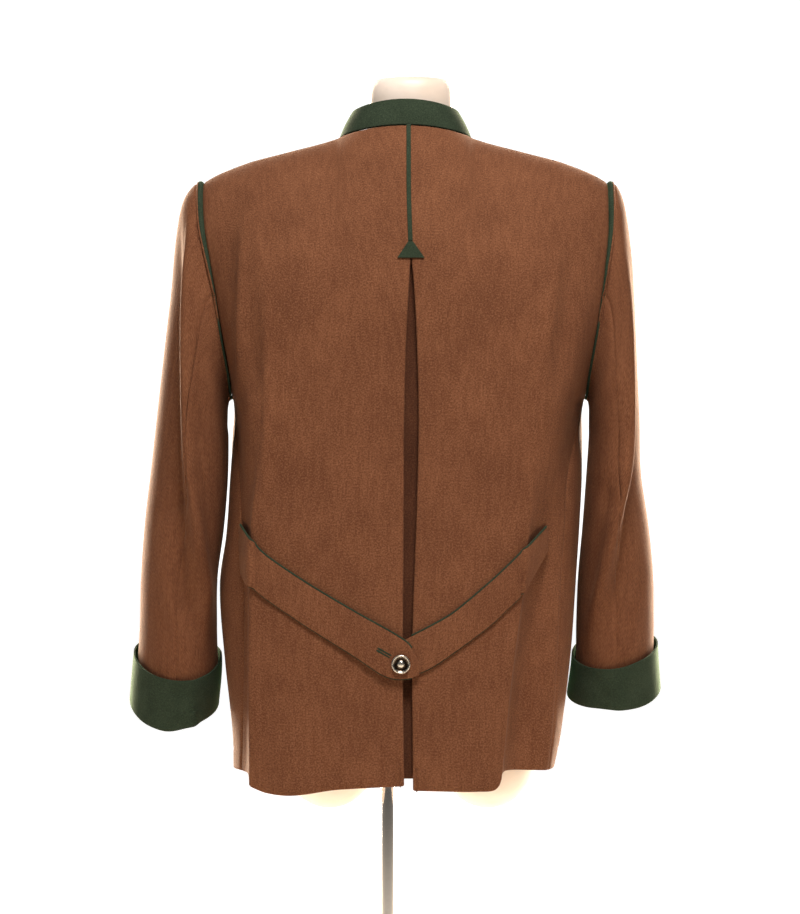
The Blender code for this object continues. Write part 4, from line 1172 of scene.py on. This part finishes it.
# ------- half-belt
beltTable = {
    left: table(
        "row place    x       up      low",
        (0, "seam",   0.1960, 0.7205, 0.6626),
        (1, "crest",  0.1840, 0.7060, 0.6520),
        (2, "back",   0.1760, 0.6970, 0.6460),
        (3, "back",   0.1600, 0.6825, 0.6340),
        (4, "back",   0.1146, 0.6528, 0.6043),
        (5, "back",   0.0630, 0.6225, 0.5726),
        (6, "back",   0.0320, 0.6055, 0.5521),
        (7, "back",   0.0149, 0.5955, 0.5466),
        (8, "back",   0.0017, 0.5864, 0.5470),
        (9, "back",   -0.0060, 0.5755, 0.5490),
        (10, "back",  -0.0115, 0.5640, 0.5520),
    ),
    right: table(
        "row place    x       up      low",
        (0, "valley", 0.1600, 0.7190, 0.6900),
        (1, "crest",  0.1380, 0.6980, 0.6480),
        (2, "back",   0.1280, 0.6885, 0.6400),
        (3, "back",   0.1120, 0.6730, 0.6250),
        (4, "back",   0.0903, 0.6533, 0.6052),
        (5, "back",   0.0514, 0.6212, 0.5766),
        (6, "back",   0.0240, 0.6052, 0.5585),
        (7, "back",   0.0020, 0.5940, 0.5500),
        (8, "back",   -0.0120, 0.5870, 0.5480),
    ),
}
halfBelt = {
    "across": 16, "perRow": 12, "pipingRadius": 0.0013, "lowerRadius": 0.0007,
    "lastPiped": {left: 8.6, right: 7.0}, "crown": 0.0008,
}


def beltStation(side, entry, z, out):
    # The belt lies on the back as far as the crest, then runs straight to the seam
    fold = foldTable[side]
    if entry["place"] == "back":
        return onBack(side * entry["x"], z, out)
    if entry["place"] == "crest":
        x, y = read(fold, "crestX", z), read(fold, "crestY", z)
        return worn(side * (x + out * 1.2), y + out * 1.2, z)
    if entry["place"] == "valley":
        return worn(side * entry["x"], read(fold, "valleyY", z) - 0.004, z)
    x, y = read(fold, "seamX", z), read(fold, "seamY", z)
    return worn(side * (x + out), y + out, z)


def beltPoints(side):
    # Stations from the table, then smooth lines through them
    rows = beltTable[side]
    shares = steps(0, 1, halfBelt["across"])
    stations = []
    for entry in rows:
        out = 2 * jacket["layGap"]
        if side == left:
            out += (jacket["beltWall"] + jacket["layGap"]) * ease((0.085 - entry["x"]) / 0.050)
        stations.append([beltStation(side, entry, mix(entry["low"], entry["up"], share),
                                     out + halfBelt["crown"] * math.sin(math.pi * share))
                         for share in shares])
    stations = np.array(stations)
    count = (len(rows) - 1) * halfBelt["perRow"]
    lines = [smoothPath(stations[:, i], count) for i in range(len(shares))]
    return np.array(lines)


def ringsAlong(line, along, radii, level, sides=12):
    # Rings square to a line, starting on the side that the level points away from
    along /= np.linalg.norm(along, axis=1, keepdims=True)
    side = np.cross(along, level)
    side /= np.linalg.norm(side, axis=1, keepdims=True)
    up = np.cross(side, along)
    turns = np.linspace(0, 2 * math.pi, sides + 1)[None, :, None]
    radii = np.broadcast_to(radii, len(line)).astype(float)[:, None, None]
    return line[:, None] + (np.cos(turns) * side[:, None] + np.sin(turns) * up[:, None]) * radii


def tubeAlong(line, radii):
    line = np.array(line, float)
    return ringsAlong(line, np.gradient(line, axis=0), radii, (0.0, 0.12, 1.0))


def makeBelt(side):
    points = beltPoints(side)
    flip = points if side == left else points[:, ::-1]
    flip = faceOut(flip, bodyMiddles(flip))
    name = sided("halfBelt", side)
    piece = giveWall(gridPiece(name, flip), jacket["beltWall"] * 0.9, True, 0.0010)
    sidedPiece("belt", side, piece, lodenCloth)
    last = round(halfBelt["lastPiped"][side] * halfBelt["perRow"])
    normals = normalsOf(flip)
    if not np.allclose(flip[0, 0], points[0, 0]):
        normals = normals[:, ::-1]
    out = normals[:, :last] * jacket["beltWall"] * 0.42
    upper = points[-1, :last] + out[-1] + np.array((0, 0, halfBelt["pipingRadius"] * 0.7))
    lower = points[0, :last] + out[0] - np.array((0, 0, halfBelt["lowerRadius"] * 0.7))
    edges = bmesh.new()
    for line, radius in ((upper, halfBelt["pipingRadius"]), (lower, halfBelt["lowerRadius"])):
        ends = np.ones(len(line))
        ends[[0, -1]] = 0.05
        tube = gridPiece("edge", tubeAlong(line, radius * ends), closed=True)
        edges.from_mesh(tube.data)
        bpy.data.objects.remove(tube)
    bmesh.ops.holes_fill(edges, edges=edges.edges)
    bmesh.ops.recalc_face_normals(edges, faces=edges.faces)
    piping = meshPiece(name + "Piping", edges, shift=False)
    dress(piping, f"belt_{sideName[side]}_piping", greenFelt)
    return piece, piping


belts = {side: makeBelt(side) for side in (left, right)}

piping = {"top": 0.0040, "bottom": 0.0014, "count": 160}


def makePiping(side):
    line, radii = [], []
    for angle in steps(0, 2 * math.pi, piping["count"]):
        x, y, z = armhole(angle)
        line.append(worn(side * x, y * 0.985, mix(z, 1.0, 0.012)))
        radii.append(mix(piping["bottom"], piping["top"], pipingShare(z)))
    points = tubeLoop(np.array(line), np.array(radii))
    piece = gridPiece(sided("armholePiping", side), points, closed=True)
    recalculate(piece)
    return sidedPiece("armhole_piping", side, piece, greenFelt)


def tubeLoop(line, radii):
    along = np.gradient(line, axis=0)
    along[0] = along[-1] = line[1] - line[-2]
    return ringsAlong(line, along, radii, (1.0, 0.0, 0.0))


def recalculate(piece):
    shaped = bmesh.new()
    shaped.from_mesh(piece.data)
    bmesh.ops.recalc_face_normals(shaped, faces=shaped.faces)
    shaped.to_mesh(piece.data)
    shaped.free()


pipings = {side: makePiping(side) for side in (left, right)}
print("half-belt and pipings made")

# ------- buttons and buttonholes
button = {
    "profile": ((0.0, 0.0042, 0.0), (0.0016, 0.0041, 0.0), (0.0030, 0.0036, 0.0),
                (0.0040, 0.0028, 0.5), (0.0046, 0.0021, 1.0), (0.0060, 0.0019, 1.0),
                (0.0075, 0.0023, 1.0), (0.0085, 0.0033, 0.6), (0.0092, 0.0040, 0.1),
                (0.0100, 0.0041, 0.0), (0.0107, 0.0036, 0.0), (0.0109, 0.0028, 0.1),
                (0.0106, 0.0018, 0.5), (0.0096, 0.0004, 0.8), (0.0070, 0.0, 1.0), (0.0, 0.0, 1.0)),
    "belt": (0.0093, 0.5635), "steps": 64,
    "frontZ": (1.070, 0.982, 0.894, 0.806, 0.718),
}


def spun(shaped, verts, count):
    # A profile turned round Z
    edges = [shaped.edges.new(pair) for pair in zip(verts, verts[1:])]
    bmesh.ops.spin(shaped, geom=verts + edges, cent=(0, 0, 0), axis=(0, 0, 1),
                   angle=2 * math.pi, steps=count, use_merge=True)
    bmesh.ops.remove_doubles(shaped, verts=shaped.verts, dist=0.00001)
    bmesh.ops.recalc_face_normals(shaped, faces=shaped.faces)
    for face in shaped.faces:
        face.smooth = True


def makeButton(name, node, place, outward):
    shaped = bmesh.new()
    dark = shaped.verts.layers.float.new("patina")
    verts = []
    for radius, height, patina in button["profile"]:
        vert = shaped.verts.new((radius, 0, height))
        vert[dark] = patina
        verts.append(vert)
    spun(shaped, verts, button["steps"])
    turn = outward.to_track_quat("Z", "Y").to_matrix().to_4x4()
    bmesh.ops.transform(shaped, matrix=turn, verts=shaped.verts)
    bmesh.ops.translate(shaped, verts=shaped.verts, vec=place)
    return dress(meshPiece(name, shaped), node, buttonMetal)


def centreFront(z):
    start = frontPanel["neckColumn"]
    column = start * jacket["frontOverlap"] / (jacket["frontOverlap"] + neck["halfWidth"])
    if z <= jacket["rollZ"]:
        return frontPoint(left, column, z, None)
    _, depth, top = neckline(math.pi)
    end = math.acos(-depth / read(bodyTable, "front", jacket["rollZ"]))
    rise = (z - jacket["rollZ"]) / (top - jacket["rollZ"])
    return frontPoint(left, column, z, math.asin(rise * math.sin(end)) / end)


def welt(shaped, start, end, width, height, outward):
    # A padded lip of felt, as a squashed tube on the cloth
    line = [start.lerp(end, t) for t in steps(0, 1, 14)]
    radii = [width / 2 * math.sqrt(clamp(1 - (2 * t - 1) ** 6, 0.02)) for t in steps(0, 1, 14)]
    points = tubeAlong(line, radii)
    centre = np.array(line)[:, None]
    out = np.array(outward)
    depth = (points - centre) @ out
    points -= depth[..., None] * out * (1 - height / width * 2)
    tube = gridPiece("lip", points, closed=True)
    shaped.from_mesh(tube.data)
    bpy.data.objects.remove(tube)


def makeButtons():
    x, z = button["belt"]
    place = onBack(x, z, 2 * (jacket["beltWall"] + jacket["layGap"]) + 0.0008)
    made = [makeButton("beltButton", "belt_button", place, Vector((0, 1, 0)))]
    for number, z in enumerate(button["frontZ"], 1):
        point, low, high = (centreFront(at) for at in (z, z - 0.010, z + 0.010))
        along = high - low
        outward = Vector((0, -along.z, along.y)).normalized()
        made.append(makeButton(f"frontButton{number}", f"front_button_{number}",
                               point + outward * 0.0006, outward))
    return made


def makeButtonhole():
    shaped = bmesh.new()
    out = 2 * (jacket["beltWall"] + jacket["layGap"]) + 0.0002
    for share in (-1, 1):
        lift = Vector((-0.49, 0, 0.87)) * share * 0.0014
        welt(shaped, onBack(0.0372, 0.5810, out) + lift, onBack(0.0195, 0.5710, out) + lift,
             0.0030, 0.0012, (0, 1, 0))
    bmesh.ops.holes_fill(shaped, edges=shaped.edges)
    bmesh.ops.recalc_face_normals(shaped, faces=shaped.faces)
    piece = meshPiece("beltButtonhole", shaped, shift=False)
    return dress(piece, "belt_buttonhole", greenFelt)


buttons = makeButtons()
buttonhole = makeButtonhole()
print("buttons made")

# ------- form and stand
formTable = table(
    "z      middle   half    back    front   square",
    (0.436, 0.0000,  0.1300, 0.0900, 0.0850, 2.4),
    (0.480, 0.0000,  0.1500, 0.1150, 0.1060, 2.4),
    (0.560, 0.0000,  0.1560, 0.1170, 0.1100, 2.4),
    (0.660, 0.0000,  0.1480, 0.1060, 0.1080, 2.4),
    (0.760, 0.0000,  0.1560, 0.1080, 0.1150, 2.4),
    (0.860, 0.0000,  0.1740, 0.1180, 0.1230, 2.4),
    (0.950, 0.0000,  0.1800, 0.1180, 0.1100, 2.4),
    (1.030, 0.0005,  0.1840, 0.1040, 0.0880, 2.4),
    (1.080, 0.0010,  0.1780, 0.0820, 0.0660, 2.4),
    (1.112, 0.0010,  0.1500, 0.0660, 0.0520, 2.3),
    (1.135, 0.0005,  0.1080, 0.0560, 0.0470, 2.2),
    (1.152, -0.0005, 0.0760, 0.0490, 0.0450, 2.1),
    (1.170, -0.0015, 0.0580, 0.0440, 0.0440, 2.0),
    (1.205, -0.0025, 0.0515, 0.0420, 0.0440, 2.0),
    (1.242, -0.0030, 0.0505, 0.0415, 0.0440, 2.0),
    (1.252, -0.0030, 0.0450, 0.0360, 0.0390, 2.0),
)
form = {
    "lobeX": 0.0945, "lobeSize": (0.0620, 0.0900, 0.0760), "lobeZ": 0.4550,
    "grain": 0.0050,          # size of the cells of the whole form's mesh
}


def makeForm():
    rows = []
    for z in steps(formTable[0]["z"], formTable[-1]["z"], 150):
        value = {key: read(formTable, key, z) for key in formTable[0] if key != "z"}
        power = 2 / value["square"]
        row = []
        for angle in steps(0, 2 * math.pi, 97):
            across, along = math.sin(angle), math.cos(angle)
            depth = value["back"] if along > 0 else value["front"]
            row.append((value["middle"] - math.copysign(value["half"] * abs(across) ** power, across),
                        math.copysign(depth * abs(along) ** power, along), z))
        rows.append(row)
    shell = gridPiece("formShell", np.array(rows), closed=True)
    shaped = bmesh.new()
    shaped.from_mesh(shell.data)
    bmesh.ops.holes_fill(shaped, edges=shaped.edges)
    for side in (left, right):
        lobe = bmesh.ops.create_uvsphere(shaped, u_segments=48, v_segments=32, radius=1.0)["verts"]
        bmesh.ops.scale(shaped, vec=form["lobeSize"], verts=lobe)
        place = (jacket["formX"] + side * form["lobeX"], 0, form["lobeZ"])
        bmesh.ops.translate(shaped, vec=place, verts=lobe)
    bmesh.ops.recalc_face_normals(shaped, faces=shaped.faces)
    shaped.to_mesh(shell.data)
    shaped.free()
    whole = shell.modifiers.new("whole", "REMESH")
    whole.mode = "VOXEL"
    whole.voxel_size = form["grain"]
    whole.use_smooth_shade = True
    smooth = shell.modifiers.new("smooth", "SMOOTH")
    smooth.factor = 0.5
    smooth.iterations = 8
    return dress(shell, "form_torso", formShell)


stand = {
    "pole": ((0.0, 0.4420), (0.0078, 0.4420), (0.0080, 0.4400), (0.0080, 0.0300), (0.0150, 0.0295),
             (0.0160, 0.0285), (0.0160, 0.0105), (0.0200, 0.0092), (0.0200, 0.0082), (0.0, 0.0082)),
    "plate": ((0.0, 0.0079), (0.1500, 0.0079), (0.1660, 0.0068), (0.1690, 0.0055), (0.1700, 0.0035),
              (0.1698, 0.0004), (0.1690, 0.0), (0.0, 0.0)),
}


def turned(name, profile, node, finish):
    shaped = bmesh.new()
    spun(shaped, [shaped.verts.new((radius, 0, z)) for radius, z in profile], 96)
    piece = meshPiece(name, shaped, shift=False)
    piece.data.set_sharp_from_angle(angle=math.radians(35))
    return dress(piece, node, finish)


formPiece = makeForm()
polePiece = turned("standPole", stand["pole"], "pole", chrome)
platePiece = turned("standPlate", stand["plate"], "base_plate", baseMetal)
print("form and stand made")

# ------- studio
studio = {
    "eye": (0.0103, 3.15, 0.7995),      # garment metres; shifted with the form
    "focalLength": 103.39,
    "floorRadius": 14.0,
    "floorGlow": 0.9, "glowFrom": -0.6, "glowTo": -1.5,
    "skyBehind": 1.30, "skyBefore": 0.11, "skyEdge": (-0.97, -0.84),
    "target": (0, 0, 0.85),
    "lamps": {
        "key": ((-0.25, 1.55, 3.1), (0.8, 0.8), 98, "#fff6ee"),
        "rimLeft": ((1.35, -2.2, 1.2), (0.6, 2.4), 360, "#ffe9cd"),
        "rimRight": ((-1.35, -2.2, 1.2), (0.6, 2.4), 360, "#ffe9cd"),
    },
}


def makeWorld():
    # White behind the jacket's front, as seen from its back, and dim all round
    world = bpy.data.worlds.new("whiteStudio")
    bpy.context.scene.world = world
    world.use_nodes = True
    tree = world.node_tree
    ground = tree.nodes["Background"]
    direction = addNode(tree, "TexCoord").outputs["Generated"]
    split = addNode(tree, "SeparateXYZ", inputs={0: direction})
    low, high = studio["skyEdge"]
    glow = addNode(tree, "MapRange", inputs={
        "Value": split.outputs["Y"], 1: low, 2: high, 3: studio["skyBehind"], 4: studio["skyBefore"]})
    ground.inputs["Color"].default_value = (1, 1, 1, 1)
    tree.links.new(glow.outputs[0], ground.inputs["Strength"])


def makeFloor():
    shaped = bmesh.new()
    bmesh.ops.create_circle(shaped, cap_ends=True, segments=96, radius=studio["floorRadius"])
    bmesh.ops.translate(shaped, verts=shaped.verts, vec=(0, 0, -0.0004))
    floor = meshPiece("studioFloor", shaped, shift=False)
    made, tree, shader = newMaterial("paintedStudioFloor")
    # Matt floor paint with roller marks of a third of a metre
    place = addNode(tree, "TexCoord").outputs["Object"]
    grain = addNode(tree, "TexNoise", inputs={"Vector": place, "Scale": 3.0, "Detail": 2.0})
    roughen(tree, shader, grain.outputs["Fac"], 0.75, 0.90)
    setAll(shader, {"Base Color": linear("#cfcdca"), "Emission Color": (1, 1, 1, 1)})
    # The floor glows from a step behind the stand outwards, as a lit backdrop does
    behind = addNode(tree, "SeparateXYZ", inputs={0: place}).outputs["Y"]
    glow = addNode(tree, "MapRange", inputs={
        "Value": behind, 1: studio["glowFrom"], 2: studio["glowTo"], 3: 0.0, 4: studio["floorGlow"]})
    tree.links.new(glow.outputs[0], shader.inputs["Emission Strength"])
    floor.data.materials.append(made)


def addLight(name, place, size, power, colour):
    lamp = bpy.data.lights.new(name, "AREA")
    lamp.shape = "RECTANGLE"
    lamp.size, lamp.size_y = size
    lamp.energy = power
    lamp.color = linear(colour)[:3]
    holder = bpy.data.objects.new(name, lamp)
    holder.location = place
    holder.rotation_euler = (Vector(studio["target"]) - Vector(place)).to_track_quat("-Z", "Y").to_euler()
    bpy.context.scene.collection.objects.link(holder)


def makeStudio():
    makeWorld()
    makeFloor()
    for name, lamp in studio["lamps"].items():
        addLight(name, *lamp)
    eye = bpy.data.cameras.new("studioCamera")
    eye.lens = studio["focalLength"]
    eye.sensor_width = 36
    eye.clip_end = 60
    camera = bpy.data.objects.new("studioCamera", eye)
    x, y, z = studio["eye"]
    camera.location = (x + jacket["formX"], y, z)
    camera.rotation_euler = (math.pi / 2, 0, math.pi)
    bpy.context.scene.collection.objects.link(camera)
    bpy.context.scene.camera = camera
    bpy.context.scene.view_settings.view_transform = "Standard"


makeStudio()
print("studio made")
